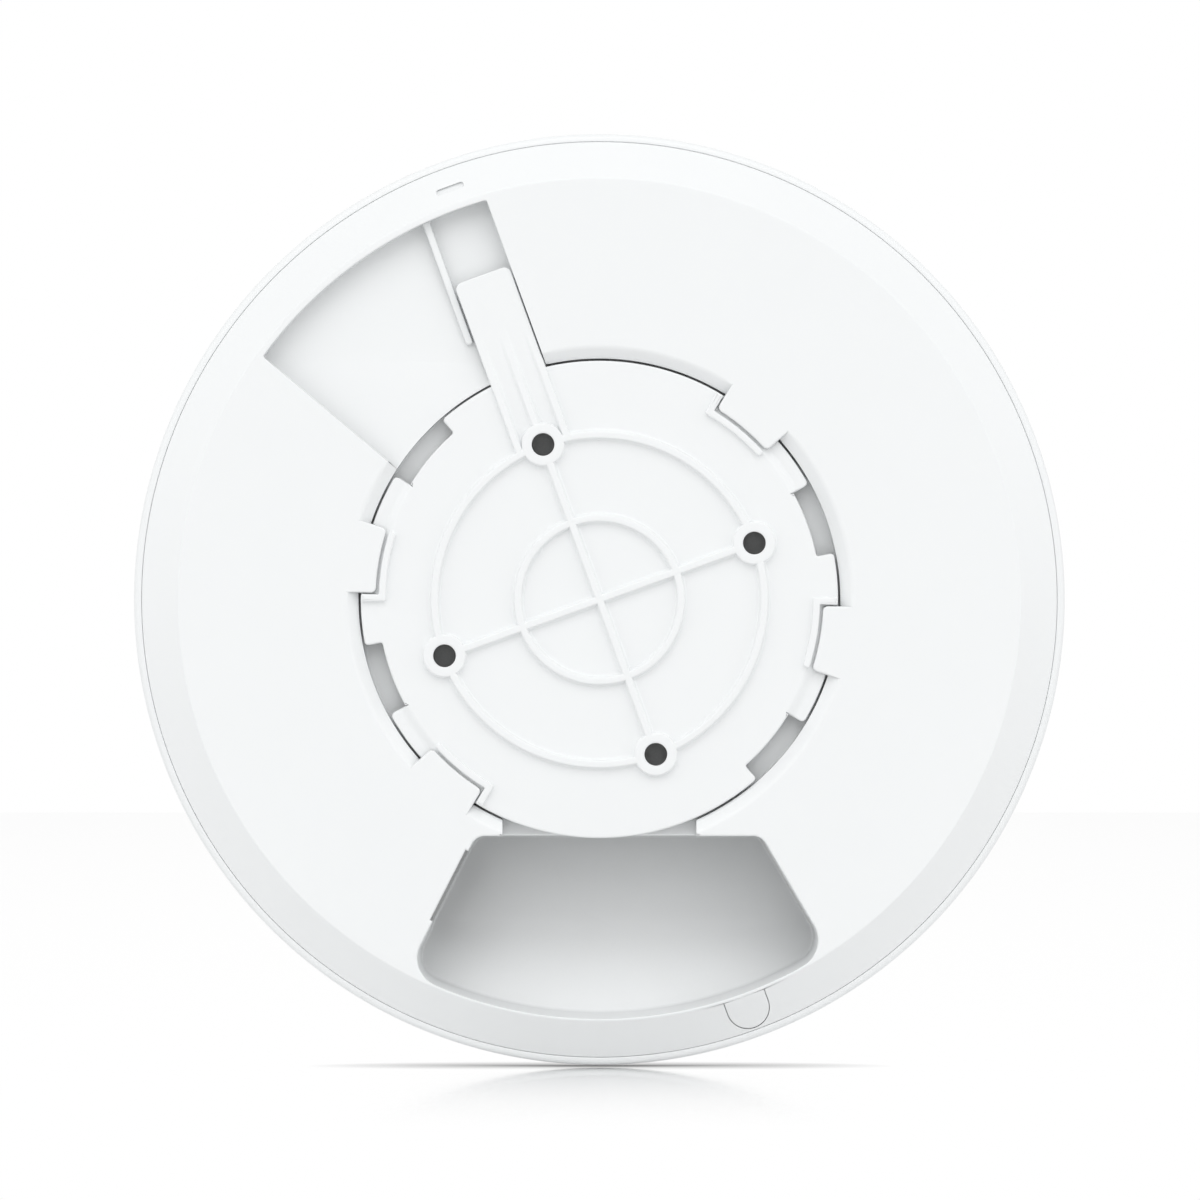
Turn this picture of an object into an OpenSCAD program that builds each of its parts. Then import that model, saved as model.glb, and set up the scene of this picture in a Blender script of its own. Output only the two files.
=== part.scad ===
// Round ceiling or wall access point, seen from its back.
// Sizes are in millimetres. Every piece is drawn lying flat, with X to the right, Y towards the
// top of the case and Z out of the back, and Z = 0 on the surface that the bracket is screwed to.
// stand_up() then turns the piece upright, so that the back faces -Y and the top points to +Z.

/* [Case] */
// Diameter over the rim of the front cover
case_d = 160; // [157:0.5:168]
// Depth from the mounting surface to the middle of the dome
case_depth = 33; // [32:0.25:37]
// Gap between the mounting surface and the flat back
back_gap = 0.3; // [0.2:0.05:0.5]
// Width of the sloped band around the flat back
slope_w = 6.4; // [5.8:0.1:6.8]
// Drop of the sloped band from the flat back to the rim
slope_drop = 5; // [4.6:0.1:5.6]
// Wall of the back case
back_t = 1.6; // [1.3:0.1:1.8]
// Wall of the front cover
cover_t = 2; // [1.8:0.1:2.3]
// Width of the rim that the front cover shows around the back case
rim_w = 1.3; // [1.1:0.1:1.5]
// Height of the straight side between the rim and the dome's shoulder
rim_h = 2.7; // [2.6:0.1:3.4]
// Radius of the rim's outer edge
rim_round = 1; // [0.5:0.1:1.1]
// Radius of the dome's shoulder
shoulder_r = 17; // [15:0.5:18]
// Thickness of the back case's edge, which sits in the front cover
edge_t = 2; // [1.6:0.1:2.4]
// Width of the back case's edge
edge_w = 1.6; // [1.4:0.1:2]

/* [Snap hooks] */
// Number of snap hooks that hold the back case in the front cover
hook_count = 6; // [4:1:8]
// Direction of the first snap hook
hook_start = 20; // [10:1:30]
// Width of a snap hook, as an angle
hook_angle = 7; // [5:0.5:9]
// Thickness of a snap hook
hook_t = 1.6; // [1.4:0.1:1.8]
// Gap between the hooks and the front cover's wall
hook_gap = 1.4; // [1.3:0.1:1.6]
// Reach of a hook's barb under its catch
hook_barb = 0.9; // [0.6:0.1:1]
// Height of a hook's barb
hook_head = 1.5; // [1.2:0.1:1.8]
// Height of a catch
catch_h = 1; // [0.8:0.1:1.2]

/* [Mounting bracket] */
// Diameter of the bracket's disc
bracket_d = 82.2; // [81.4:0.1:82.6]
// Thickness of the disc
plate_t = 2; // [1.6:0.1:2.2]
// Height of the ribs and bosses above the disc
rib_h = 1.2; // [1:0.05:1.4]
// Width of the ribs
rib_w = 1.4; // [1:0.1:1.8]
// Distance between neighbouring screw holes, which form a square
screw_pitch = 40; // [38:0.5:42]
// Direction of the first screw hole and of the latch arm
arm_dir = 110; // [108:0.5:112]
// Diameter of a screw hole
screw_hole_d = 3.9; // [3.2:0.1:4.5]
// Diameter of the boss around a screw hole
boss_d = 7.4; // [6.6:0.1:8]
// Diameter of the inner rib ring, at the middle of the rib
inner_ring_d = 28; // [22:0.5:34]
// Direction of the first bayonet tab; the others follow around the rim
tab_dir = 50; // [48:0.5:52]
// Angles from the first tab to each tab
tab_steps = [0, 120, 180, 300];
// Width of a bayonet tab, as an angle
tab_angle = 16.6; // [14:0.2:18]
// Turn that unlocks the case from the bracket
twist_angle = 30; // [28:0.5:31]
// Clearance at each side of a tab in its notch, as an angle
notch_play = 0.45; // [0.3:0.05:0.8]
// Reach of a tab over the bracket's lip
tab_reach = 2.95; // [2.6:0.05:3.2]
// Radius of a tab's two corners
tab_corner_r = 0.9; // [0.5:0.1:1.2]
// Thickness of a tab
tab_t = 1.3; // [1.1:0.1:1.4]
// Angle between a tab and the stop that ends its travel
stop_play = 0.3; // [0.2:0.05:0.5]
// Width of a stop, as an angle
stop_angle = 2; // [1.6:0.1:2.6]

/* [Latch] */
// Width of the latch arm
arm_w = 10; // [9:0.1:10.6]
// Distance from the centre to the arm's tip
arm_reach = 59.2; // [57:0.1:61]
// Distance from the centre to the line where the arm bends
arm_root = 42; // [41.6:0.1:43]
// Thickness of the arm
arm_t = 1.4; // [1.2:0.1:1.5]
// Gap between the arm and the mounting surface
arm_gap = 0.7; // [0.6:0.05:0.8]
// Radius of the arm's two tip corners
arm_corner_r = 1.2; // [0.6:0.1:2]
// Distance from the centre to where the arm's ribs run out
arm_rib_end = 49.5; // [46:0.5:52]
// Width of the ridge that the arm locks against
ridge_w = 1.4; // [1.1:0.1:1.6]
// Distance from the centre to the ridge's inner end
ridge_start = 48.6; // [47:0.1:52]
// Clearance between the ridge's top and the arm's underside
ridge_play = 0.2; // [0.15:0.01:0.3]
// Distance from the edge of the flat back to the outer wall of the arm's recess
sector_margin = 1; // [0.8:0.1:1.4]
// Depth of the arm's recess below the flat back
sector_depth = 4.2; // [4.1:0.05:4.5]
// Length of the slot for the release blade
blade_slot_l = 5.1; // [4:0.1:6]
// Height of the slot for the release blade
blade_slot_h = 0.9; // [0.6:0.1:1.1]

/* [Bracket recess] */
// Gap between the bracket's underside and the floor of its recess
under_gap = 2; // [1.6:0.1:2.2]
// Width of the bevel around the opening for the bracket
bevel_w = 1.95; // [1.6:0.05:2.2]
// Depth of the bevel around the opening
bevel_h = 1.7; // [1.3:0.1:2]
// Width of the channel that joins the opening to the cable compartment
channel_w = 33.3; // [28:0.1:36]
// Diameter of the blank label on the floor of the recess
label_d = 66; // [60:1:72]
// Thickness of the label
label_t = 0.15; // [0.1:0.05:0.3]

/* [Cable compartment] */
// Distance from the centre to the compartment's straight wall
compartment_y = 40.6; // [40.4:0.1:41.4]
// Distance from the middle to the left corner of the straight wall
compartment_left = 21.2; // [20.6:0.1:21.8]
// Distance from the middle to the right corner of the straight wall
compartment_right = 27.8; // [27:0.1:29]
// Lean of the left wall away from the straight wall's square
left_lean = 26.9; // [25:0.1:28]
// Lean of the right wall away from the straight wall's square
right_lean = 30.4; // [28:0.1:32]
// Radius of the two corners at the straight wall
corner_in_r = 2.5; // [1.5:0.1:3]
// Radius of the two corners at the rim
corner_out_r = 5; // [3:0.1:6]
// Depth of the compartment below the flat back
compartment_depth = 16.2; // [15.9:0.1:16.6]
// Distance from the centre to where the floor starts to climb
ramp_start = 55.8; // [54:0.1:58]
// Depth of the compartment at the rim, below the flat back
ramp_end_depth = 7.7; // [7.2:0.1:8.4]
// Width of the flat strip between the compartment and the sloped band
compartment_margin = 0.25; // [0.2:0.05:0.6]
// Width of the cable exit
exit_w = 7.5; // [6:0.1:9]
// Distance from the end of the cable exit to the edge of the back case
exit_margin = 0.3; // [0.3:0.05:0.6]
// Direction of the cable exit
exit_dir = 290; // [287:0.5:292]
// Wall of the cover that closes the cable exit
exit_cover_t = 1.2; // [0.9:0.1:1.6]

/* [Network socket] */
// Width of the socket's shell
jack_w = 16; // [15.4:0.1:16.4]
// Height of the socket's shell above the board
jack_h = 12.9; // [12.6:0.1:13.1]
// Length of the socket's shell
jack_l = 18; // [16:0.5:19]
// Thickness of the socket's sheet-metal shell
jack_sheet_t = 0.3; // [0.2:0.05:0.4]
// Distance along the left wall from its corner to the middle of the socket
jack_along = 9.65; // [9.4:0.05:10.2]
// Width of the window in the compartment's wall in front of the socket
window_w = 13.5; // [12.8:0.1:14]
// Set-back of the roof above the window
window_setback = 0.5; // [0.3:0.1:0.9]
// Width of the hole that takes the plug
plug_w = 11.8; // [11.6:0.1:12]
// Height of the hole that takes the plug
plug_h = 8.2; // [7.8:0.1:8.4]
// Depth of the hole that takes the plug
plug_depth = 13.5; // [12:0.1:14]
// Height of the plug's hole above the board
plug_floor = 1.4; // [1.2:0.1:1.6]
// Height of the groove for the plug's clip
clip_h = 1.6; // [1.4:0.1:1.8]
// Distance from the end of the plug's hole to the end of the clip's groove
clip_setback = 3; // [2:0.5:4]
// Number of contacts in the socket
contact_count = 8; // [4:1:8]
// Distance between neighbouring contacts
contact_pitch = 1.02; // [0.9:0.01:1.1]
// Width of one contact
contact_w = 0.45; // [0.3:0.05:0.5]
// Thickness of one contact
contact_t = 0.35; // [0.2:0.05:0.4]
// Length of one contact
contact_l = 9; // [8:0.5:10]
// Tilt of the contacts above the floor of the plug's hole
contact_tilt = 14; // [12:1:18]

/* [Board and cooling] */
// Distance from the case's side to the edge of the main board
board_margin = 13; // [12:0.5:14]
// Thickness of the main board
board_t = 1.6; // [1:0.1:1.8]
// Distance from the case's side to the edge of the heat sink
sink_margin = 22; // [20:0.5:24]
// Thickness of the heat sink plate
sink_t = 1.6; // [1.2:0.1:1.8]
// Gap between the bracket recess and the heat sink
sink_gap = 1.2; // [0.8:0.1:1.4]
// Distance from the edge of the heat sink to the board screws
post_margin = 8; // [7:0.5:9]
// Directions of the board screws
post_dirs = [20, 75, 160, 200, 325];
// Diameter of the posts and of the heat sink's standoffs
post_d = 6.5; // [6:0.1:7]
// Diameter of a board screw's thread
board_screw_d = 2.5; // [2:0.1:3]
// Diameter of a board screw's head
board_screw_head_d = 5; // [4.4:0.1:5.4]
// Height of a board screw's head
board_screw_head_h = 1.5; // [1.2:0.1:1.8]
// Reach of a board screw into its post
board_screw_grip = 4.2; // [3:0.1:4.6]
// Length of the cross in a board screw's head
screw_cross_l = 2.6; // [2:0.1:3]
// Width of the cross in a board screw's head
screw_cross_w = 0.6; // [0.4:0.1:0.8]
// Height of the shield over the processor
shield_h = 2.6; // [2.2:0.1:3]
// Sheet thickness of the shields
shield_t = 0.3; // [0.2:0.05:0.4]
// Thickness of the thermal pads above the shields
pad_t = 0.8; // [0.5:0.1:1]
// Step from the edge of a shield to the pad and the heat sink's foot above it
foot_step = 3; // [2:0.5:4]

/* [Board layout] */
// Middle of the processor's shield, to the right of and above the middle of the case
processor_at = [6, 14];
// Width and height of the processor's shield
processor_size = [32, 30];
// Width and height of the 2.4 GHz radio's shield
radio_2ghz_size = [24, 20];
// Distance to the right from the middle of the case to the middle of the 2.4 GHz radio's shield
radio_2ghz_x = 35; // [35:0.1:36]
// Gap between the 2.4 GHz radio's shield and the post below it
radio_post_gap = 3.4; // [3:0.1:4]
// Height of the 5 GHz radio's shield
radio_5ghz_l = 20; // [18:0.5:21]
// Distance upwards from the middle of the case to the middle of the 5 GHz radio's shield
radio_5ghz_y = 8; // [7:0.1:9]
// Distance from the circle of the posts in to the 5 GHz radio's shield
radio_inset = 12; // [11:0.1:13]
// Gap between the 5 GHz radio's shield and the processor's shield
shield_gap = 4; // [3:0.1:5]
// Shift of the chips to the left of the middle of their shield
chip_shift = 3; // [2:0.5:4]
// Height of the flat chips
chip_h = 1.2; // [0.9:0.1:1.4]
// Width of the processor
processor_w = 14; // [12:0.5:15]
// Width of a radio's chip
radio_chip_w = 9; // [7:0.5:10]
// Width and height of the memory chip
memory_size = [8, 12];
// Gap between the processor and the memory chip
memory_gap = 1.5; // [1:0.1:2]
// Middle of the flash chip
flash_at = [-6, -12];
// Width and height of the flash chip
flash_size = [8, 6];
// Middle of the network transformer
transformer_at = [-14, -22];
// Width and height of the network transformer
transformer_size = [16, 11];
// Height of the network transformer above the board
transformer_h = 5.4; // [4:0.1:5.6]
// Middle of the power transformer
power_at = [6, -24];
// Width and height of the power transformer's flanges
power_size = [13, 10];
// Height of the power transformer above the board
power_h = 5.2; // [4.6:0.1:5.6]
// Thickness of the power transformer's flanges
power_flange_t = 1; // [0.8:0.1:1.2]
// Diameter of the power transformer's winding
winding_d = 9; // [8:0.1:9.6]
// Middle of the power inductor
inductor_at = [19, -25];
// Width of the power inductor
inductor_w = 7; // [6:0.1:7.6]
// Height of the power inductor's body
inductor_h = 3; // [2.4:0.1:3.6]
// Diameter of the cap on the power inductor
inductor_cap_d = 6; // [5:0.1:6.4]
// Thickness of the cap on the power inductor
inductor_cap_t = 0.6; // [0.4:0.1:0.8]
// Number of storage capacitors
capacitor_count = 3; // [2:1:3]
// Middle of the first storage capacitor, from which the others follow to the left
capacitor_at = [8, -33.2];
// Gap between the storage capacitors
capacitor_gap = 1.2; // [0.8:0.1:1.6]
// Diameter of a storage capacitor
capacitor_d = 6.3; // [5:0.1:6.6]
// Height of a storage capacitor
capacitor_h = 5.4; // [4:0.1:5.6]

/* [Reset button] */
// Distance from the middle to the reset button, along the straight wall
reset_x = 19; // [17:0.1:20]
// Diameter of the reset button
button_d = 3; // [2:0.1:3.2]
// Running clearance around the button
button_play = 0.1; // [0.05:0.01:0.1]
// Travel of the reset button
button_travel = 0.5; // [0.3:0.05:0.6]
// Depth of the button's face below the face of the wall
button_sink = 0.2; // [0.1:0.05:0.3]
// Width of the collar that keeps the button in
collar_w = 0.3; // [0.2:0.05:0.4]
// Thickness of the collar
collar_t = 0.7; // [0.5:0.1:0.9]
// Gap between the collar and the switch when the button is pressed
press_gap = 0.2; // [0.1:0.05:0.3]
// Reach of the button's stem into the switch
stem_reach = 1.2; // [1:0.1:1.4]
// Width of the reset switch
reset_switch_w = 6; // [5:0.1:6.4]
// Depth of the reset switch
reset_switch_l = 4; // [3.6:0.1:4.4]
// Height of the reset switch
reset_switch_h = 3.6; // [3.4:0.1:4.2]

/* [Light ring] */
// Outer diameter of the light ring
ring_d = 46; // [42:0.5:50]
// Width of the light ring
ring_w = 1.6; // [1.2:0.1:2]
// Width of the flange behind the ring, on each side
ring_flange_w = 1.2; // [0.8:0.1:1.6]
// Thickness of the flange
ring_flange_t = 1.2; // [0.8:0.1:1.6]
// Number of lights on the board
led_count = 8; // [4:1:12]
// Width of a light
led_w = 1.2; // [1:0.1:1.4]
// Length of a light
led_l = 2; // [1.6:0.1:2.4]
// Height of a light
led_h = 0.7; // [0.5:0.1:0.9]

/* [Antennas] */
// Height of the antennas above the board
antenna_h = 7; // [6:0.1:7.6]
// Distance from the centre to the antennas
antenna_r = 46; // [42:0.5:48]
// Sheet thickness of the antennas
antenna_t = 0.4; // [0.3:0.05:0.5]
// Length of a 2.4 GHz antenna
antenna_long = 27; // [24:0.5:28]
// Length of a 5 GHz antenna
antenna_short = 18; // [15:0.5:22]
// Width of an antenna
antenna_w = 8; // [6:0.5:9]
// Distance from the end of an antenna to its feed leg
feed_gap = 4; // [3:0.1:5]
// Width of a feed leg
feed_w = 1.5; // [1:0.1:2]

/* [Fits] */
// Clearance between the front cover's rim and the back case
parting_gap = 0.1; // [0.05:0.01:0.15]
// Clearance at each side of the latch arm
arm_play = 0.2; // [0.15:0.01:0.3]
// Radial clearance between the bracket and its opening
bracket_play = 0.25; // [0.2:0.01:0.35]
// Clearance between a tab and the bracket
tab_play = 0.3; // [0.2:0.01:0.35]
// Clearance around the exit cover
exit_play = 0.1; // [0.08:0.01:0.15]
// Clearance around the pieces inside the case
inner_play = 0.6; // [0.4:0.05:0.8]
// Clearance around pieces that are joined face to face
joint_play = 0.05; // [0.03:0.01:0.1]

/* [Hidden] */
$fn = 96;

// Colours
white_plastic = [0.94, 0.95, 0.95];
label_grey = [0.22, 0.22, 0.22];
cast_metal = [0.72, 0.73, 0.74];
sheet_metal = [0.80, 0.81, 0.82];
board_green = [0.10, 0.33, 0.20];
chip_black = [0.10, 0.10, 0.11];
pad_blue = [0.45, 0.62, 0.78];
gold = [0.83, 0.68, 0.32];

// Overlap of pieces that are drawn in two steps
eps = 0.05;
// How far a cut runs past the face that it leaves
past = 1;
// Height well clear of the whole part, for cuts that pass right through
far = 60;
// Chords in a rounded corner, and in each stretch of a long arc
corner_steps = 6;
arc_steps = 24;

// Levels along Z, which fall from the mounting surface into the case
plate_top = -rib_h;
plate_low = plate_top - plate_t;
back_z = -back_gap;
back_inner_z = back_z - back_t;
recess_floor = plate_low - under_gap;
recess_under = recess_floor - back_t;
tab_low = back_z - tab_t;
lip_top = tab_low - tab_play;
arm_top = -arm_gap;
arm_low = arm_top - arm_t;
sector_floor = back_z - sector_depth;
ridge_top = arm_low - ridge_play;
rim_top = back_z - slope_drop;
seat_z = rim_top - edge_t;
shoulder_z = rim_top - rim_h;
compartment_floor = back_z - compartment_depth;
ramp_end_z = back_z - ramp_end_depth;
jack_top = back_inner_z - inner_play;
board_top = jack_top - jack_h;
board_low = board_top - board_t;
sink_top = recess_under - sink_gap;
sink_low = sink_top - sink_t;

// Radii
case_r = case_d / 2;
edge_r = case_r - rim_w - parting_gap;
flat_r = edge_r - slope_w;
bracket_r = bracket_d / 2;
opening_r = bracket_r + bracket_play;
bevel_r = opening_r + bevel_w;
tab_r = opening_r - tab_reach;
notch_r = tab_r - tab_play;
hole_r = screw_pitch / sqrt(2);
board_r = case_r - board_margin;
sink_r = case_r - sink_margin;
post_r = sink_r - post_margin;
ring_r = ring_d / 2;
compartment_r = flat_r - compartment_margin;
sector_r = flat_r - sector_margin;
hook_r = case_r - cover_t - hook_gap;
exit_end = edge_r - exit_margin - exit_w / 2;

// Tilt of the sloped band, and how much longer its wall is along Z than across
slope_tilt = atan(slope_drop / slope_w);
slope_stretch = 1 / cos(slope_tilt);

// Underside of the snap hooks and top of the catches
catch_top = shoulder_z + joint_play;
hook_low = catch_top - catch_h - inner_play / 2 - hook_head;

// Half width of the arm's recess on each side of the arm
arm_side = arm_w / 2 + arm_play;

// Levels and depths of the socket and of the plug's hole, from the face of the compartment's wall
jack_front = -back_t - joint_play;
plug_low = board_top + plug_floor;
plug_high = plug_low + plug_h;

// Sides and middles of the radios' shields, which keep clear of the posts
radio_left = radio_inset - post_r;
radio_right = processor_at.x - processor_size.x / 2 - shield_gap;
radio_5ghz_size = [radio_right - radio_left, radio_5ghz_l];
radio_5ghz_at = [(radio_left + radio_right) / 2, radio_5ghz_y];
radio_2ghz_low = post_r * sin(post_dirs[4]) + post_d / 2 + radio_post_gap;
radio_2ghz_at = [radio_2ghz_x, radio_2ghz_low + radio_2ghz_size.y / 2];

// Level of the reset button, back of the wall in front of it, and front of its switch
reset_z = board_top + reset_switch_h / 2;
reset_wall = back_t - compartment_y;
switch_front = reset_wall + joint_play + collar_t + button_travel + press_gap;

// Centre and radius of the dome's crown, which runs smoothly into the shoulder
shoulder_x = case_r - shoulder_r;
crown_rise = case_depth + shoulder_z;
crown_r = (pow(shoulder_x, 2) + pow(crown_rise, 2) - pow(shoulder_r, 2))
    / (2 * (crown_rise - shoulder_r));
crown_z = crown_r - case_depth;
crown_end = atan2(shoulder_z - crown_z, shoulder_x);

// Top of the flange behind the light ring, which clears the inside of the dome
ring_flange_top = crown_z - sqrt(pow(crown_r - cover_t, 2) - pow(ring_r + ring_flange_w, 2))
    + ring_flange_t;

// Point at a distance and a direction from the centre
function polar(r, dir) = [r * cos(dir), r * sin(dir)];

// Point reached by going out along a direction, then to its left
function beside(dir, out, left) = polar(out, dir) + polar(left, dir + 90);

// Points of an arc about a centre
function arc(center, r, from, to, steps) =
    [for (i = [0:steps]) center + polar(r, from + (to - from) * i / steps)];

// Height of the sloped band at a distance from the centre
function slope_z(r) = back_z - (r - flat_r) * tan(slope_tilt);

// Arc that rounds the corner p between its neighbours, where p holds x, y and the radius
function round_corner(before, p, after) =
    let (
        here = [p.x, p.y],
        u = (before - here) / norm(before - here),
        v = (after - here) / norm(after - here),
        half = acos(u * v) / 2,
        center = here + (u + v) / norm(u + v) * p.z / sin(half),
        start = here + u * p.z / tan(half) - center,
        from = atan2(start.y, start.x),
        side = sign(u.x * v.y - u.y * v.x),
        turn = side * (180 - 2 * half)
    )
    p.z == 0 ? [here] : arc(center, p.z, from, from - turn, corner_steps);

// Outline through corners that each hold x, y and a radius
function rounded(corners) =
    let (n = len(corners), flat = [for (c = corners) [c.x, c.y]])
    [for (i = [0:n - 1]) each round_corner(flat[(i + n - 1) % n], corners[i], flat[(i + 1) % n])];

// Points of the dome from its middle to its side, moved inwards by inset
function dome_line(inset) = concat(
    arc([0, crown_z], crown_r - inset, -90, crown_end, arc_steps),
    arc([shoulder_x, shoulder_z], shoulder_r - inset, crown_end, 0, arc_steps / 2)
);

// Profile of everything inside the dome, moved inwards by inset
function dome_profile(inset) = concat(
    dome_line(inset),
    [[case_r - inset, rim_top], [0, rim_top]]
);

// Corner of the compartment's straight wall, with the outline moved outwards by grow
function inner_corner(side, x, lean, grow) =
    [side * (x + grow * (1 - sin(lean)) / cos(lean)), grow - compartment_y];

// Point where a leaning wall that starts at p meets the circle of radius r
function outer_corner(p, side, lean, r) =
    let (d = [side * sin(lean), -cos(lean)], b = p * d)
    p + d * (sqrt(b * b - p * p + r * r) - b);

// Outline of the cable compartment, moved outwards by grow
function compartment_outline(grow) =
    let (
        left = inner_corner(-1, compartment_left, left_lean, grow),
        right = inner_corner(1, compartment_right, right_lean, grow),
        r = compartment_r + grow,
        left_out = outer_corner(left, -1, left_lean, r),
        right_out = outer_corner(right, 1, right_lean, r),
        from = atan2(left_out.y, left_out.x),
        to = atan2(right_out.y, right_out.x),
        rim = arc([0, 0], r, from, to, arc_steps)
    )
    rounded(concat(
        [[left.x, left.y, corner_in_r + grow], [left_out.x, left_out.y, corner_out_r + grow]],
        [for (i = [4:arc_steps - 4]) [rim[i].x, rim[i].y, 0]],
        [[right_out.x, right_out.y, corner_out_r + grow], [right.x, right.y, corner_in_r + grow]]
    ));

// Outline of the recess in which the latch arm swings, moved outwards by grow
function sector_outline(grow) =
    let (
        side = arm_side + grow,
        r = sector_r + grow,
        open = asin(side / r)
    )
    concat(
        [beside(arm_dir, 0, -side)],
        arc([0, 0], r, arm_dir - open, arm_dir + twist_angle + open, arc_steps),
        [beside(arm_dir + twist_angle, 0, side)]
    );

// U-shaped outline of the cable exit, moved inwards by inset
module exit_outline(inset) {
    rotate([0, 0, exit_dir]) {
        translate([exit_end, 0]) circle(d = exit_w - 2 * inset);
        translate([compartment_r - back_t, inset - exit_w / 2])
            square([exit_end - compartment_r + back_t, exit_w - 2 * inset]);
    }
}

// Turns a piece that is drawn flat upright, with the back towards -Y
module stand_up() {
    rotate([90, 0, 0]) children();
}

// Disc between two heights
module disc(r, low, high) {
    translate([0, 0, low]) cylinder(r = r, h = high - low);
}

// Ring between two heights
module ring(r_in, r_out, low, high) {
    difference() {
        disc(r_out, low, high);
        disc(r_in, low - eps, high + eps);
    }
}

// Part of a ring between two directions and two heights
module ring_part(r_in, r_out, from, to, low, high) {
    rotate([0, 0, from]) rotate_extrude(angle = to - from)
        translate([r_in, low]) square([r_out - r_in, high - low]);
}

// Straight bar that runs out from the centre along a direction, with its middle moved to the left
module bar(dir, from, to, left, width, low, high) {
    rotate([0, 0, dir]) translate([from, left - width / 2, low])
        cube([to - from, width, high - low]);
}

// Block between two heights, with its middle at x, y
module block(x, y, width, depth, low, high) {
    translate([x - width / 2, y - depth / 2, low]) cube([width, depth, high - low]);
}

// Outline raised between two heights
module raised(points, low, high) {
    translate([0, 0, low]) linear_extrude(high - low) polygon(points);
}

// Solid below the back's surface, to trim what stands on its inside
module under_back() {
    rotate_extrude() polygon([
        [0, back_z], [flat_r, back_z], [edge_r, rim_top],
        [edge_r, -case_depth], [0, -case_depth]
    ]);
}

// Space above the compartment's floor, which lies flat and then climbs, lowered by grow
module above_ramp(grow) {
    rotate([90, 0, 90]) translate([0, 0, -far]) linear_extrude(2 * far) polygon([
        [0, far], [0, compartment_floor - grow], [-ramp_start, compartment_floor - grow],
        [-compartment_r, ramp_end_z - grow], [-case_r, ramp_end_z - grow], [-case_r, far]
    ]);
}

// Places a piece in the socket's own frame: X out of the mouth, Y up along the left wall
module at_jack() {
    mouth = inner_corner(-1, compartment_left, left_lean, 0)
        - jack_along * [sin(left_lean), cos(left_lean)];
    translate([mouth.x, mouth.y, 0]) rotate([0, 0, -left_lean]) children();
}

// Box in the socket's frame, from behind to in front and equally wide on both sides
module jack_box(behind, front, width, low, high) {
    at_jack() translate([behind, -width / 2, low]) cube([front - behind, width, high - low]);
}

// ---------------------------------------------------------------------- mounting bracket

// Disc with its bayonet notches, lowered lips and stops, ribs and four screw bosses
module mounting_bracket() {
    color(white_plastic) stand_up() difference() {
        union() {
            bracket_plate();
            bracket_ribs();
        }
        for (i = [0:3]) rotate([0, 0, arm_dir + 90 * i]) translate([hole_r, 0, plate_low - eps])
            cylinder(d = screw_hole_d, h = -plate_low + 2 * eps);
    }
}

module bracket_plate() {
    difference() {
        union() {
            disc(bracket_r, plate_low, plate_top);
            intersection() {
                disc(bracket_r, plate_low, back_z);
                for (step = tab_steps) bracket_stop(tab_dir + step);
            }
            intersection() {
                bar(arm_dir, hole_r, arm_root, 0, arm_w, plate_low, 0);
                below_arm();
            }
        }
        for (step = tab_steps) bracket_pocket(tab_dir + step);
    }
}

// Block behind a tab, from which the pocket leaves an inner rib and a foot that stops the tab
module bracket_stop(dir) {
    ring_part(notch_r - rib_w, case_r, dir - tab_angle / 2,
        dir + tab_angle / 2 + stop_play + stop_angle, -far, far);
}

// Notch through which a tab drops in, and the lowered lip that it then slides over. The notch
// is a little deeper, so that a tab can't catch on it.
module bracket_pocket(dir) {
    half = tab_angle / 2;
    notch_end = dir - twist_angle + half + notch_play;
    ring_part(notch_r - 2 * joint_play, case_r, dir - twist_angle - half - notch_play, notch_end,
        -far, far);
    ring_part(notch_r, case_r, notch_end - notch_play, dir + half + stop_play, lip_top, far);
}

// Two rings, a cross and four bosses, all level with the mounting surface
module bracket_ribs() {
    half = rib_w / 2;
    boss_r = boss_d / 2;
    ring(hole_r - half, hole_r + half, plate_low, 0);
    ring(inner_ring_d / 2 - half, inner_ring_d / 2 + half, plate_low, 0);
    for (i = [0:1]) bar(arm_dir + 90 * i, -hole_r, hole_r, 0, rib_w, plate_low, 0);
    for (i = [0:3]) rotate([0, 0, arm_dir + 90 * i]) translate([hole_r, 0, plate_low])
        cylinder(r = boss_r, h = -plate_low);
}

// Everything below the arm's face, which has three ribs that fall towards its tip and two
// valleys that rise between them
module below_arm() {
    start = hole_r - rib_w;
    valley_w = (arm_w - 3 * rib_w) / 2;
    rotate([0, 0, arm_dir]) difference() {
        across(2 * arm_w) polygon([
            [start, -far], [case_r, -far], [case_r, arm_top], [arm_rib_end, arm_top], [start, 0]
        ]);
        for (side = [-1, 1]) translate([0, side * (valley_w + rib_w) / 2, 0])
            across(valley_w) polygon([
                [start - rib_w, plate_top], [arm_rib_end - rib_w, arm_top], [case_r, far],
                [start - rib_w, far]
            ]);
    }
}

// Stands an outline drawn in X and Z up across the Y axis
module across(width) {
    translate([0, width / 2, 0]) rotate([90, 0, 0]) linear_extrude(width) children();
}

// Springy arm that locks the case, bending at the disc's edge
module latch_arm() {
    half = arm_w / 2;
    outline = rounded([
        [arm_root, -half, 0], [arm_reach, -half, arm_corner_r],
        [arm_reach, half, arm_corner_r], [arm_root, half, 0]
    ]);
    color(white_plastic) stand_up() intersection() {
        rotate([0, 0, arm_dir]) raised(outline, arm_low, 0);
        below_arm();
    }
}

// ---------------------------------------------------------------------- shells

// Back half of the case, with every recess that opens to the back
module back_case() {
    color(white_plastic) stand_up() {
        difference() {
            union() {
                back_skin();
                intersection() {
                    under_back();
                    back_blocks();
                }
                back_hooks();
            }
            back_cuts();
        }
        for (step = tab_steps) back_tab(tab_dir + step);
        arm_ridge();
    }
}

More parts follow.
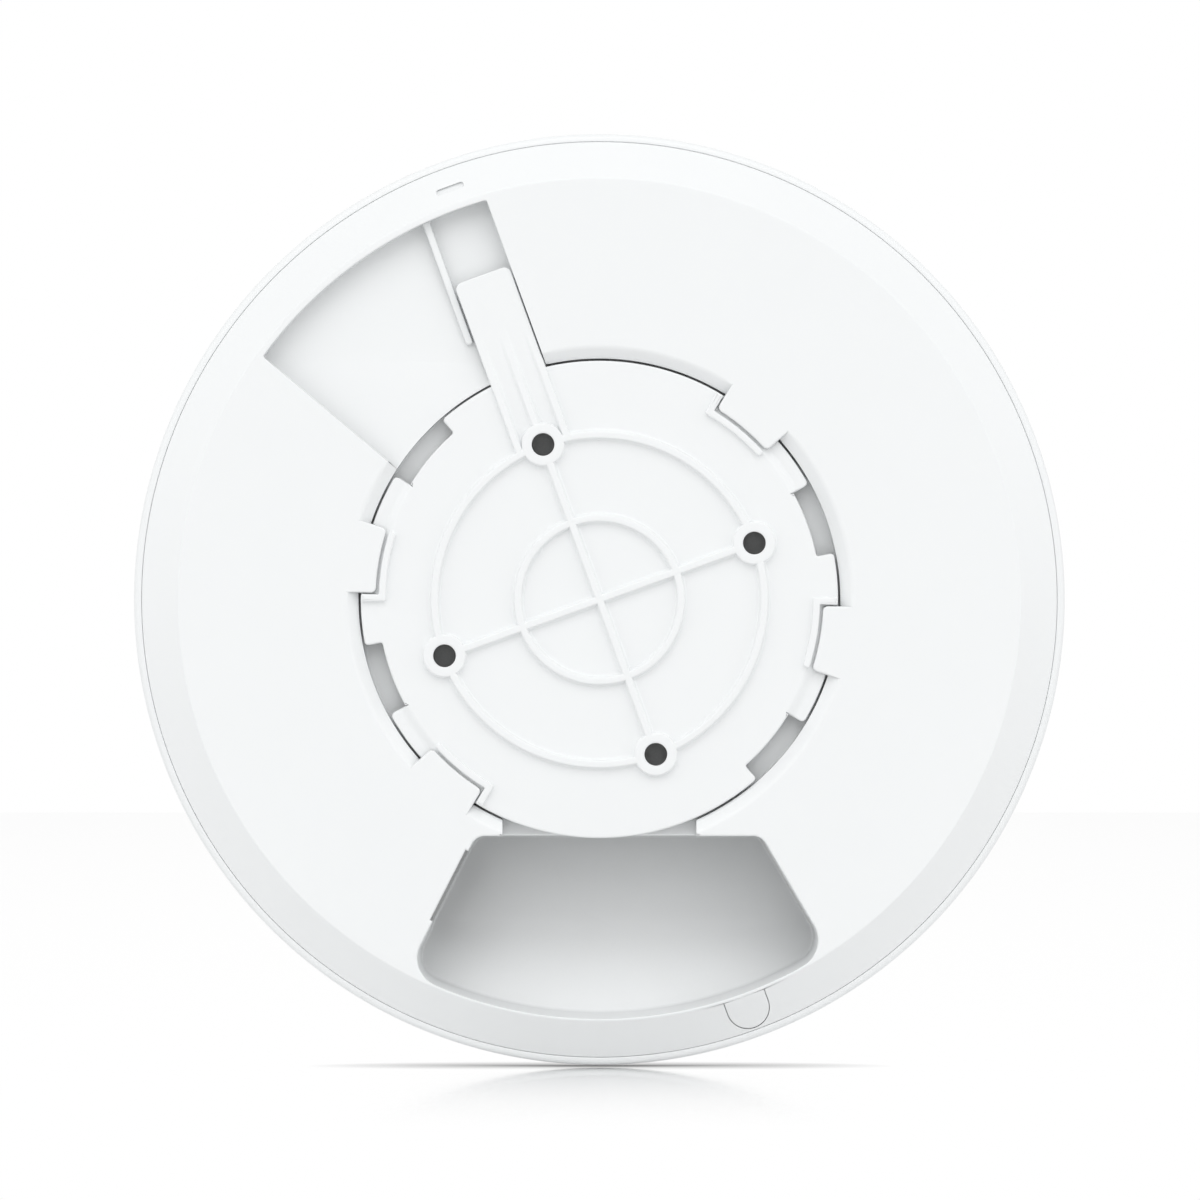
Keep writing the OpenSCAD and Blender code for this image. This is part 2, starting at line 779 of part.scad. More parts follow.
// Flat back, sloped band and edge, all of one wall
module back_skin() {
    inner_r = edge_r - edge_w;
    inner_flat_r = flat_r - back_t * tan(slope_tilt / 2);
    rotate_extrude() polygon([
        [0, back_z], [flat_r, back_z], [edge_r, rim_top], [edge_r, seat_z], [inner_r, seat_z],
        [inner_r, slope_z(inner_r) - back_t * slope_stretch], [inner_flat_r, back_inner_z],
        [0, back_inner_z]
    ]);
}

// Solid material from which the recesses are cut
module back_blocks() {
    disc(opening_r + back_t, recess_under, back_z);
    raised(sector_outline(back_t), sector_floor - back_t, back_z);
    raised([
        [-channel_w / 2 - back_t, 0], [channel_w / 2 + back_t, 0],
        [channel_w / 2 + back_t, -compartment_y], [-channel_w / 2 - back_t, -compartment_y]
    ], recess_under, back_z);
    intersection() {
        raised(compartment_outline(back_t), -case_depth, back_z);
        above_ramp(back_t);
    }
    translate([0, 0, rim_top - back_t]) linear_extrude(slope_drop + back_t)
        exit_outline(-back_t / 2);
    for (dir = post_dirs) rotate([0, 0, dir]) translate([post_r, 0, sink_top])
        cylinder(d = post_d, h = back_z - sink_top);
}

// Snap hooks that reach behind the catches in the front cover
module back_hooks() {
    for (i = [0:hook_count - 1]) {
        from = hook_dir(i) - hook_angle / 2;
        to = from + hook_angle;
        ring_part(hook_r - hook_t, hook_r, from, to, hook_low, slope_z(hook_r) - back_t / 2);
        ring_part(hook_r - eps, hook_r + hook_barb, from, to, hook_low, hook_low + hook_head);
    }
}

// Direction of a snap hook
function hook_dir(i) = hook_start + 360 * i / hook_count;

// Everything that is cut out of the back case
module back_cuts() {
    disc(opening_r, recess_floor, far);
    difference() {
        translate([0, 0, back_z - bevel_h])
            cylinder(r1 = opening_r, r2 = bevel_r + bevel_w, h = 2 * bevel_h);
        for (step = tab_steps) raised(tab_outline(tab_dir + step), -far, far);
    }
    raised(sector_outline(0), sector_floor, far);
    block(0, -compartment_y / 2, channel_w, compartment_y + 2 * back_t, recess_floor, far);
    intersection() {
        raised(compartment_outline(0), -case_depth, far);
        above_ramp(0);
    }
    translate([0, 0, rim_top]) linear_extrude(far) exit_outline(0);
    jack_window();
    blade_slot();
    translate([reset_x, -compartment_y - past, reset_z]) rotate([-90, 0, 0])
        cylinder(d = button_d + 2 * button_play, h = back_t + 2 * past);
    for (dir = post_dirs) rotate([0, 0, dir])
        translate([post_r, 0, sink_top - eps])
            cylinder(d = board_screw_d + 2 * joint_play, h = board_screw_grip + 2 * eps);
}

// Window in the compartment's wall in front of the socket, open at the top by a narrow slit
module jack_window() {
    jack_box(-back_t - past, past, window_w, board_top + inner_play, back_inner_z);
    jack_box(-window_setback, past, window_w, back_inner_z - past, far);
}

// Flat slot through the sloped band into the arm's recess, for the release blade
module blade_slot() {
    bar(arm_dir, sector_r - past, case_r, 0, blade_slot_l, ridge_top - blade_slot_h, ridge_top);
}

// Outline of a bayonet tab, carried on outwards over the bevel
function tab_outline(dir) =
    let (half = tab_angle / 2, out = bevel_r + back_t)
    rounded([
        [out * cos(dir - half), out * sin(dir - half), 0],
        [tab_r * cos(dir - half), tab_r * sin(dir - half), tab_corner_r],
        [tab_r * cos(dir + half), tab_r * sin(dir + half), tab_corner_r],
        [out * cos(dir + half), out * sin(dir + half), 0]
    ]);

// Bayonet tab, level with the flat back
module back_tab(dir) {
    intersection() {
        ring(tab_r, opening_r + back_t / 2, tab_low, back_z);
        raised(tab_outline(dir), -far, far);
    }
}

// Straight ridge on the floor of the recess, beside the arm
module arm_ridge() {
    bar(arm_dir, ridge_start + ridge_w / 2, sector_r, arm_side + ridge_w / 2, ridge_w,
        sector_floor - eps, ridge_top);
    rotate([0, 0, arm_dir])
        translate([ridge_start + ridge_w / 2, arm_side + ridge_w / 2, sector_floor - eps])
            cylinder(d = ridge_w, h = ridge_top - sector_floor + eps);
}

// Domed front of the case, with a rim that takes the back case and catches for its hooks
module front_cover() {
    round_r = min(rim_round, rim_w - joint_play);
    outline = concat(
        dome_line(0),
        arc([case_r - round_r, rim_top - round_r], round_r, 0, 90, corner_steps),
        [[case_r - rim_w, rim_top], [case_r - rim_w, seat_z], [case_r - cover_t, seat_z]],
        [for (i = [1.5 * arc_steps + 1:-1:0]) dome_line(cover_t)[i]]
    );
    color(white_plastic) stand_up() {
        difference() {
            rotate_extrude() polygon(outline);
            disc(ring_r + joint_play, -far, 0);
        }
        for (i = [0:hook_count - 1]) ring_part(
            hook_r + tab_play, case_r - cover_t / 2,
            hook_dir(i) - hook_angle / 2, hook_dir(i) + hook_angle / 2,
            catch_top - catch_h, catch_top
        );
    }
}

// Closed ring of translucent plastic, with a flange that carries the cap and joins the cover
module light_ring() {
    inner_r = ring_r - ring_w;
    color("white") stand_up() rotate_extrude() {
        intersection() {
            polygon(dome_profile(0));
            translate([inner_r, -case_depth])
                square([ring_w, case_depth + ring_flange_top]);
        }
        intersection() {
            polygon(dome_profile(cover_t + joint_play));
            translate([inner_r - ring_flange_w, -case_depth])
                square([ring_w + 2 * ring_flange_w, case_depth + ring_flange_top]);
        }
    }
}

// Middle of the dome, inside the light ring
module center_cap() {
    color(white_plastic) stand_up() rotate_extrude() intersection() {
        difference() {
            polygon(dome_profile(0));
            polygon(dome_profile(cover_t));
        }
        translate([0, -case_depth]) square([ring_r - ring_w - joint_play, case_depth]);
    }
}

// Clear tube that carries light from the board to the ring
module light_guide() {
    color("white", 0.6) stand_up()
        ring(ring_r - ring_w, ring_r, ring_flange_top, board_low - led_h - joint_play * 4);
}

// Blank dark label on the floor of the bracket's recess
module rating_label() {
    color(label_grey) stand_up() disc(label_d / 2, recess_floor, recess_floor + label_t);
}

// Small cover that closes the cable exit and follows the sloped band
module cable_exit_cover() {
    color(white_plastic) stand_up() difference() {
        intersection() {
            translate([0, 0, rim_top]) linear_extrude(slope_drop) exit_outline(exit_play);
            under_back();
        }
        disc(compartment_r, rim_top - past, past);
        intersection() {
            translate([0, 0, rim_top - past]) linear_extrude(slope_drop)
                exit_outline(exit_play + exit_cover_t);
            translate([0, 0, -exit_cover_t * slope_stretch]) under_back();
        }
    }
}

// ---------------------------------------------------------------------- board and cooling

// Cast plate that carries heat from the shields to the back case
module heat_sink() {
    color(cast_metal) stand_up() difference() {
        union() {
            disc(sink_r, sink_low, sink_top);
            sink_foot(processor_at, processor_size);
            sink_foot(radio_5ghz_at, radio_5ghz_size);
            sink_foot(radio_2ghz_at, radio_2ghz_size);
            for (dir = post_dirs) rotate([0, 0, dir]) translate([post_r, 0, board_top])
                cylinder(d = post_d, h = sink_low - board_top + eps);
        }
        raised(compartment_outline(back_t + 2 * inner_play), -far, 0);
        block(0, reset_wall + 2 * inner_play - case_r, 2 * case_r, 2 * case_r, -far, 0);
        jack_box(jack_front - jack_l - 2 * inner_play, case_r, jack_w + 4 * inner_play, -far, 0);
        for (dir = post_dirs) rotate([0, 0, dir]) translate([post_r, 0, board_top - eps])
            cylinder(d = board_screw_d + 4 * joint_play, h = far);
    }
}

// Foot of the heat sink that reaches down to a shield's pad
module sink_foot(at, size) {
    block(at.x, at.y, size.x - 2 * foot_step, size.y - 2 * foot_step,
        board_top + shield_h + pad_t, sink_low + eps);
}

// Soft pads on the shields and under their lids
module thermal_pads() {
    color(pad_blue) stand_up() {
        shield_pads(processor_at, processor_size, processor_w);
        shield_pads(radio_5ghz_at, radio_5ghz_size, radio_chip_w);
        shield_pads(radio_2ghz_at, radio_2ghz_size, radio_chip_w);
    }
}

// Pad on a shield, and the pad between its lid and the chip of width chip_w
module shield_pads(at, size, chip_w) {
    block(at.x, at.y, size.x - 2 * foot_step, size.y - 2 * foot_step,
        board_top + shield_h, board_top + shield_h + pad_t);
    block(at.x - chip_shift, at.y, chip_w, chip_w,
        board_top + chip_h, board_top + shield_h - shield_t);
}

// C-shaped board around the cable compartment
module main_board() {
    color(board_green) stand_up() difference() {
        disc(board_r, board_low, board_top);
        raised(compartment_outline(back_t + inner_play), -far, 0);
        for (dir = post_dirs) rotate([0, 0, dir]) translate([post_r, 0, -far])
            cylinder(d = board_screw_d + 4 * joint_play, h = far);
    }
}

// Sheet-metal can, open towards the board
module shield_can(at, size) {
    color(sheet_metal) stand_up() difference() {
        block(at.x, at.y, size.x, size.y, board_top, board_top + shield_h);
        block(at.x, at.y, size.x - 2 * shield_t, size.y - 2 * shield_t,
            board_top - eps, board_top + shield_h - shield_t);
    }
}

module processor_shield() {
    shield_can(processor_at, processor_size);
}

module radio_shield_5ghz() {
    shield_can(radio_5ghz_at, radio_5ghz_size);
}

module radio_shield_2ghz() {
    shield_can(radio_2ghz_at, radio_2ghz_size);
}

// Flat chip on the board
module chip(at, size, height) {
    color(chip_black) stand_up() block(at.x, at.y, size.x, size.y, board_top, board_top + height);
}

module processor_chip() {
    chip(processor_at - [chip_shift, 0], [processor_w, processor_w], chip_h);
}

module memory_chip() {
    chip(processor_at + [(processor_w + memory_size.x) / 2 + memory_gap - chip_shift, 0],
        memory_size, chip_h);
}

module flash_chip() {
    chip(flash_at, flash_size, chip_h);
}

module radio_chips() {
    for (at = [radio_5ghz_at, radio_2ghz_at])
        chip(at - [chip_shift, 0], [radio_chip_w, radio_chip_w], chip_h);
}

// ---------------------------------------------------------------------- network socket

// Sheet-metal shell with the mouth for the plug and its clip
module jack_shell() {
    back = jack_front - jack_l;
    color(sheet_metal) stand_up() difference() {
        jack_box(back, jack_front, jack_w, board_top, jack_top);
        jack_box(back + jack_sheet_t, jack_front - jack_sheet_t, jack_w - 2 * jack_sheet_t,
            board_top - eps, jack_top - jack_sheet_t);
        jack_box(jack_front - past, jack_front + past, plug_w, plug_low, plug_high);
        jack_box(jack_front - past, jack_front + past, plug_w / 2, plug_low, plug_high + clip_h);
    }
}

// Plastic body of the socket, hollow where the plug goes in
module jack_insert() {
    end = jack_front - plug_depth;
    color(chip_black) stand_up() difference() {
        jack_box(jack_front - jack_l + jack_sheet_t, jack_front - jack_sheet_t,
            jack_w - 2 * jack_sheet_t, board_top, jack_top - jack_sheet_t);
        jack_box(end, jack_front, plug_w, plug_low, plug_high);
        jack_box(end + clip_setback, jack_front, plug_w / 2, plug_low, plug_high + clip_h);
    }
}

// Row of springy contacts that rise from the floor of the plug's hole
module jack_contacts() {
    span = (contact_count - 1) * contact_pitch;
    color(gold) stand_up() for (i = [0:contact_count - 1])
        at_jack() translate([jack_front - plug_depth, i * contact_pitch - span / 2, plug_low])
            rotate([0, -contact_tilt, 0]) translate([-past, -contact_w / 2, -contact_t])
                cube([contact_l, contact_w, contact_t]);
}

// ---------------------------------------------------------------------- power parts

module network_transformer() {
    chip(transformer_at, transformer_size, transformer_h);
}

// Ferrite core with its winding between two end flanges
module power_transformer() {
    high = board_top + power_h;
    color(chip_black) stand_up() {
        for (low = [board_top, high - power_flange_t])
            block(power_at.x, power_at.y, power_size.x, power_size.y, low, low + power_flange_t);
        translate([power_at.x, power_at.y, 0])
            disc(winding_d / 2, board_top + power_flange_t - eps, high - power_flange_t + eps);
    }
}

module power_inductor() {
    high = board_top + inductor_h;
    color(chip_black) stand_up() {
        block(inductor_at.x, inductor_at.y, inductor_w, inductor_w, board_top, high);
        translate([inductor_at.x, inductor_at.y, 0])
            disc(inductor_cap_d / 2, high - eps, high + inductor_cap_t);
    }
}

module power_capacitors() {
    color(sheet_metal) stand_up() for (i = [0:capacitor_count - 1])
        translate([capacitor_at.x - i * (capacitor_d + capacitor_gap), capacitor_at.y, 0])
            disc(capacitor_d / 2, board_top, board_top + capacitor_h);
}

// ---------------------------------------------------------------------- reset button

module reset_switch() {
    color(chip_black) stand_up() difference() {
        block(reset_x, switch_front + reset_switch_l / 2, reset_switch_w, reset_switch_l,
            board_top, board_top + reset_switch_h);
        button_part(switch_front - past, button_d / 2 + 2 * button_play,
            past + stem_reach + button_travel + press_gap);
    }
}

// Round button with a collar behind the wall and a stem that enters the switch
module reset_button() {
    collar_front = reset_wall + joint_play;
    color(white_plastic) stand_up() {
        button_part(button_sink - compartment_y, button_d, back_t + joint_play);
        button_part(collar_front, button_d + 2 * collar_w, collar_t);
        button_part(collar_front, button_d / 2, switch_front + stem_reach - collar_front);
    }
}

// Round piece on the button's axis, from y inwards
module button_part(y, d, length) {
    translate([reset_x, y, reset_z]) rotate([-90, 0, 0]) cylinder(d = d, h = length);
}

// ---------------------------------------------------------------------- lights and antennas

module led_lights() {
    color("white") stand_up() for (i = [0:led_count - 1])
        rotate([0, 0, 360 * i / led_count])
            block(ring_r - ring_w / 2, 0, led_w, led_l, board_low - led_h, board_low);
}

// Bent sheet antenna: a flat top on two legs
module antenna(dir, length) {
    top = board_low - antenna_h;
    rotate([0, 0, dir]) {
        block(antenna_r, 0, antenna_w, length, top, top + antenna_t);
        block(antenna_r, length / 2 - antenna_t / 2, antenna_w / 2, antenna_t, top, board_low);
        block(antenna_r, length / 2 - feed_gap, antenna_t, feed_w, top, board_low);
    }
}

module antennas_2ghz() {
    color(sheet_metal) stand_up() for (dir = [0, 180]) antenna(dir, antenna_long);
}

module antennas_5ghz() {
    color(sheet_metal) stand_up() for (dir = [60, 120]) antenna(dir, antenna_short);
}

// Screws that hold the board and the heat sink to the posts of the back case
module board_screws() {
    reach = sink_top + board_screw_grip - joint_play;
    color(sheet_metal) stand_up() for (dir = post_dirs)
        rotate([0, 0, dir]) translate([post_r, 0, 0]) difference() {
            union() {
                disc(board_screw_head_d / 2, board_low - board_screw_head_h, board_low);
                disc(board_screw_d / 2, board_low - eps, reach);
            }
            for (turn = [0, 90]) rotate([0, 0, turn])
                block(0, 0, screw_cross_l, screw_cross_w,
                    board_low - board_screw_head_h - eps, board_low - board_screw_head_h / 2);
        }
}

mounting_bracket();
latch_arm();
back_case();
front_cover();
light_ring();
center_cap();
light_guide();
rating_label();
cable_exit_cover();
heat_sink();
thermal_pads();
main_board();
processor_shield();
radio_shield_5ghz();
radio_shield_2ghz();
processor_chip();
memory_chip();
flash_chip();
radio_chips();
jack_shell();
jack_insert();
jack_contacts();
network_transformer();
power_transformer();
power_inductor();
power_capacitors();
reset_switch();
reset_button();
led_lights();
antennas_2ghz();
antennas_5ghz();
board_screws();
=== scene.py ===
"""Round ceiling access point standing on its rim, seen from its back.

Shapes are drawn lying flat in millimetres: x to the right, y towards the top of the case and z out
of the back. stand() turns them upright and into metres, in the frame of the CAD model.
"""

from math import asin, cos, degrees, pi, radians, sin, sqrt, tan

import bmesh
import bpy
import numpy as np
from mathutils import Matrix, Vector
from mathutils.geometry import tessellate_polygon


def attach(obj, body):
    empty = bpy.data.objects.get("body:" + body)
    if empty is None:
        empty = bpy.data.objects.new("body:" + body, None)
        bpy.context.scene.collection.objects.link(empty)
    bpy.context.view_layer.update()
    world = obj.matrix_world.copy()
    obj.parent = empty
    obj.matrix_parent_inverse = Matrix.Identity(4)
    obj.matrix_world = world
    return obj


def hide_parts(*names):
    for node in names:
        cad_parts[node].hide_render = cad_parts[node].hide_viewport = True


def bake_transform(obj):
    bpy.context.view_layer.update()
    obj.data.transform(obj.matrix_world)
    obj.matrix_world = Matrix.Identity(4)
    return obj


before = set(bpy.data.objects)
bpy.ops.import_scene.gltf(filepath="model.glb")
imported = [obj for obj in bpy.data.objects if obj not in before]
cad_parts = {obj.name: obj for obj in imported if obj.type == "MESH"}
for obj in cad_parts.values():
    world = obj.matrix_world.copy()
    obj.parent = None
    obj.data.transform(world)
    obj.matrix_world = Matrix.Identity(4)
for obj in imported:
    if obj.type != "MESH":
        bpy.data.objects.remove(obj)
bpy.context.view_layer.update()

# ---------------------------------------------------------------------------- front cover
# The domed front of the case, injection moulded in white ABS. It is one shell with a straight
# rim, into which the back case snaps, and a round hole for the light ring.


def stand(points):
    """Turns points upright and into metres: (x, y, z) goes to (x, -z, y) / 1000."""
    return np.column_stack([points[:, 0], -points[:, 2], points[:, 1]]) / 1000


def arc(x, y, r, start, end, count):
    """Points at the distance r from (x, y), with their angle going evenly from start to end."""
    t = np.radians(np.linspace(start, end, count))
    return np.column_stack([x + r * np.cos(t), y + r * np.sin(t)])


def sharp(points):
    """Gives points of an outline the corner radius 0."""
    return np.column_stack([points, np.zeros(len(points))])


def rounded(corners, steps=5):
    """Closed outline through corners (x, y, radius): each corner is replaced by the arc of that
    radius that touches both of its sides."""
    corners = np.concatenate([np.atleast_2d(c) for c in corners])
    here = corners[:, :2]
    outline = []
    for before, (x, y, r), after in zip(np.roll(here, 1, axis=0), corners, np.roll(here, -1, axis=0)):
        point = np.array([x, y])
        if r == 0:
            outline.append([point])
            continue
        u = (before - point) / np.linalg.norm(before - point)
        v = (after - point) / np.linalg.norm(after - point)
        half = np.arccos(np.clip(u @ v, -1, 1)) / 2
        centre = point + (u + v) / np.linalg.norm(u + v) * r / sin(half)
        first = point + u * r / tan(half) - centre
        start = np.arctan2(first[1], first[0])
        turn = np.sign(u[0] * v[1] - u[1] * v[0]) * (pi - 2 * half)
        outline.append(arc(*centre, r, degrees(start), degrees(start - turn), steps + 1))
    return np.concatenate(outline)


def woven(grid, closed=True):
    """Four-sided faces between neighbouring points of a grid whose rows follow a profile and whose
    columns go round it. The outside lies to the right of the profile's direction."""
    rows, columns = grid.shape[:2]
    index = np.arange(rows * columns).reshape(rows, columns)
    if closed:
        index = np.column_stack([index, index[:, 0]])
    faces = np.stack([index[:-1, :-1], index[:-1, 1:], index[1:, 1:], index[1:, :-1]], axis=-1)
    return grid.reshape(-1, 3), faces.reshape(-1, 4)


def turned(profile, steps=288, start=0, end=360):
    """Surface of revolution: the point (r, z) goes to (r cos t, r sin t, z) for t from start to
    end in degrees."""
    whole = end - start == 360
    t = np.radians(np.linspace(start, end, steps, endpoint=not whole))
    r, z = profile[:, :1], profile[:, 1:]
    return woven(np.stack([r * np.cos(t), r * np.sin(t), z + 0 * t], axis=-1), whole)


def joined(parts):
    """One list of points and faces from several."""
    starts = np.cumsum([0] + [len(points) for points, faces in parts[:-1]])
    points = np.concatenate([points for points, faces in parts])
    return points, [face for (_, faces), s in zip(parts, starts) for face in (faces + s).tolist()]


def piece(name, parts, material, body, nodes):
    """Makes one object of several surfaces, closes their seams and poles, and puts it in place of CAD
    nodes. It rides on a body named by a string; anything else given as body, such as two bodies and
    two points, is not used, and the object stays where it is drawn."""
    points, faces = joined(parts)
    mesh = bpy.data.meshes.new(name)
    mesh.from_pydata(stand(points).tolist(), [], faces)
    edit = bmesh.new()
    edit.from_mesh(mesh)
    bmesh.ops.remove_doubles(edit, verts=edit.verts, dist=3e-6)
    bmesh.ops.dissolve_degenerate(edit, edges=edit.edges, dist=1e-6)
    edit.to_mesh(mesh)
    edit.free()
    mesh.shade_smooth()
    mesh.set_sharp_from_angle(angle=radians(35))
    mesh.materials.append(material)
    made = bpy.data.objects.new(name, mesh)
    bpy.context.scene.collection.objects.link(made)
    weighted = made.modifiers.new("flat_faces_stay_flat", "WEIGHTED_NORMAL")
    weighted.keep_sharp = True
    if isinstance(body, str):
        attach(made, body)
    else:
        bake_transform(made)
    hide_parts(*nodes)
    return made


def added(nodes, kind, inputs=(), **settings):
    """Adds a shader node, with its settings and the values of its inputs."""
    made = nodes.new("ShaderNode" + kind)
    for name, value in settings.items():
        setattr(made, name, value)
    for name, value in dict(inputs).items():
        made.inputs[name].default_value = value
    return made


def plastic(name, colour, rough, light_through=0.0):
    """Moulded plastic: a fine grain from noise as bump, and slow changes of tone and gloss."""
    material = bpy.data.materials.new(name)
    material.use_nodes = True
    nodes, links = material.node_tree.nodes, material.node_tree.links
    shader = nodes["Principled BSDF"]
    place = added(nodes, "TexCoord")
    fine = added(nodes, "TexNoise", {"Scale": 3500, "Detail": 2})
    slow = added(nodes, "TexNoise", {"Scale": 60, "Detail": 4})
    bump = added(nodes, "Bump", {"Strength": 0.02, "Distance": 0.0001})
    darker = [c * 0.985 for c in colour]
    tone = added(nodes, "Mix", {"A": (*darker, 1), "B": (*colour, 1)}, data_type="RGBA")
    gloss = added(nodes, "MapRange", {"To Min": rough - 0.05, "To Max": rough + 0.05})
    links.new(place.outputs["Object"], fine.inputs["Vector"])
    links.new(place.outputs["Object"], slow.inputs["Vector"])
    links.new(fine.outputs["Fac"], bump.inputs["Height"])
    links.new(bump.outputs["Normal"], shader.inputs["Normal"])
    links.new(slow.outputs["Fac"], tone.inputs["Factor"])
    links.new(tone.outputs["Result"], shader.inputs["Base Color"])
    links.new(slow.outputs["Fac"], gloss.inputs["Value"])
    links.new(gloss.outputs["Result"], shader.inputs["Roughness"])
    shader.inputs["Transmission Weight"].default_value = light_through
    return material


case_r = 80
case_depth = 33
cover_wall = 2
rim_top = -5.3
rebate_r = 78.7
rebate_z = -7.3
crown_r = 269.06
crown_z = crown_r - case_depth
shoulder_r = 17
shoulder_start = -75.53
ring_r = 23


def dome(r, inset=0):
    """Height of the dome's crown at the distance r, on the sphere of radius crown_r - inset."""
    return crown_z - np.sqrt((crown_r - inset) ** 2 - r**2)


def dome_line(start_r, inset):
    """Crown from start_r outwards, then the shoulder up to the straight side."""
    crown_start = degrees(asin(start_r / (crown_r - inset))) - 90
    return np.concatenate(
        [
            arc(0, crown_z, crown_r - inset, crown_start, shoulder_start, 40),
            arc(case_r - shoulder_r, -8, shoulder_r - inset, shoulder_start, 0, 30)[1:],
        ]
    )


case_white = plastic("case_plastic", (0.86, 0.875, 0.88), 0.42)
cover_profile = rounded(
    [
        [ring_r + 0.05, dome(ring_r + 0.05), 0.15],
        sharp(dome_line(ring_r + 0.6, 0)),
        [case_r, rim_top, 1],
        [rebate_r, rim_top, 0.12],
        [rebate_r, rebate_z, 0],
        [case_r - cover_wall, rebate_z, 0],
        sharp(dome_line(ring_r + 0.3, cover_wall)[::-1]),
        [ring_r + 0.05, dome(ring_r + 0.05, cover_wall), 0],
    ]
)
cover_profile = np.concatenate([cover_profile, cover_profile[:1]])
piece("front_cover_shell", [turned(cover_profile, 384)], case_white, "access_point",
      ["front_cover"])

# ---------------------------------------------------------------------------- light ring and cap
# The light ring is a moulded hoop of milky polycarbonate. Its flange is glued behind the front
# cover and carries the round cap in the middle, which is white ABS like the cover.

ring_in = ring_r - 1.6
flange = 1.2
flange_top = cover_wall + 0.05
flange_z = -28.7
milky = plastic("milky_polycarbonate", (0.93, 0.95, 0.97), 0.3, light_through=0.35)
ring_profile = rounded(
    [
        [ring_in, dome(ring_in), 0.2],
        [ring_r, dome(ring_r), 0.2],
        [ring_r, dome(ring_r, flange_top), 0],
        [ring_r + flange, dome(ring_r + flange, flange_top), 0],
        [ring_r + flange, flange_z, 0.2],
        [ring_in - flange, flange_z, 0.2],
        [ring_in - flange, dome(ring_in - flange, flange_top), 0],
        [ring_in, dome(ring_in, flange_top), 0],
    ]
)
ring_profile = np.concatenate([ring_profile, ring_profile[:1]])
piece("light_ring_hoop", [turned(ring_profile, 192)], milky, "access_point",
      ["light_ring"])

cap_r = ring_in - 0.05
cap_out = np.linspace(0, cap_r - 0.5, 12)
cap_profile = rounded(
    [
        sharp(np.column_stack([cap_out, dome(cap_out)])),
        [cap_r, dome(cap_r), 0.2],
        [cap_r, dome(cap_r, cover_wall), 0],
        sharp(np.column_stack([cap_out, dome(cap_out, cover_wall)])[::-1]),
    ]
)
piece("center_cap_disc", [turned(cap_profile, 192)], case_white, "access_point",
      ["center_cap"])


def finish(material, *names):
    """Gives CAD nodes that keep their own shape a material."""
    for name in names:
        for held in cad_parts[name].material_slots:
            held.material = material


finish(milky, "light_guide")

# ---------------------------------------------------------------------------- main board
# A C-shaped board of glass-filled epoxy under green solder mask, with the lights on the side of
# the dome and the chips, shields and power parts on the other.


def patterned(name, dark, light, rough, metal, scale, stretch=(1, 1, 1), bump_depth=0.00005):
    """Surface whose tone and height follow noise that is stretched along the axes."""
    material = bpy.data.materials.new(name)
    material.use_nodes = True
    nodes, links = material.node_tree.nodes, material.node_tree.links
    shader = nodes["Principled BSDF"]
    shader.inputs["Metallic"].default_value = metal
    place = added(nodes, "TexCoord")
    mapping = added(nodes, "Mapping", {"Scale": stretch})
    noise = added(nodes, "TexNoise", {"Scale": scale, "Detail": 5})
    ramp = added(nodes, "ValToRGB")
    ramp.color_ramp.elements[0].position = 0.35
    ramp.color_ramp.elements[0].color = (*dark, 1)
    ramp.color_ramp.elements[1].position = 0.65
    ramp.color_ramp.elements[1].color = (*light, 1)
    gloss = added(nodes, "MapRange", {"To Min": rough - 0.08, "To Max": rough + 0.08})
    bump = added(nodes, "Bump", {"Strength": 0.3, "Distance": bump_depth})
    links.new(place.outputs["Object"], mapping.inputs["Vector"])
    links.new(mapping.outputs["Vector"], noise.inputs["Vector"])
    links.new(noise.outputs["Fac"], ramp.inputs["Fac"])
    links.new(ramp.outputs["Color"], shader.inputs["Base Color"])
    links.new(noise.outputs["Fac"], gloss.inputs["Value"])
    links.new(gloss.outputs["Result"], shader.inputs["Roughness"])
    links.new(noise.outputs["Fac"], bump.inputs["Height"])
    links.new(bump.outputs["Normal"], shader.inputs["Normal"])
    return material


finish(patterned("solder_mask", (0.02, 0.13, 0.06), (0.03, 0.18, 0.08), 0.35, 0, 900), "main_board")
finish(patterned("moulded_epoxy", (0.02, 0.02, 0.022), (0.035, 0.035, 0.037), 0.55, 0, 4000),
       "processor_chip", "memory_chip", "flash_chip", "radio_chips", "network_transformer")
finish(patterned("tin_plate", (0.62, 0.62, 0.6), (0.7, 0.7, 0.68), 0.3, 1, 400, (1, 1, 12)),
       "processor_shield", "radio_shield_5ghz", "radio_shield_2ghz", "antennas_2ghz",
       "antennas_5ghz")
finish(patterned("ferrite", (0.03, 0.03, 0.032), (0.06, 0.058, 0.055), 0.7, 0, 2500),
       "power_transformer", "power_inductor")
finish(patterned("capacitor_can", (0.7, 0.7, 0.71), (0.78, 0.78, 0.79), 0.25, 1, 600, (1, 8, 1)),
       "power_capacitors")
finish(patterned("light_lens", (0.8, 0.8, 0.72), (0.9, 0.9, 0.84), 0.3, 0, 1500), "led_lights")

# ---------------------------------------------------------------------------- heat sink
# A die-cast aluminium plate with feet that press on the shields through soft silicone pads. Five
# steel screws hold it and the board to the posts of the back case.

finish(patterned("cast_aluminium", (0.5, 0.51, 0.52), (0.66, 0.67, 0.68), 0.5, 1, 700), "heat_sink")
finish(patterned("silicone_pad", (0.3, 0.46, 0.62), (0.36, 0.52, 0.68), 0.8, 0, 1800),
       "thermal_pads")
finish(patterned("screw_steel", (0.5, 0.5, 0.5), (0.62, 0.62, 0.61), 0.35, 1, 1200),
       "board_screws")

# ---------------------------------------------------------------------------- network socket
# A nickel-plated shell around a black plastic body with eight gold-plated springs, soldered to
# the board behind the window in the wall of the cable compartment.

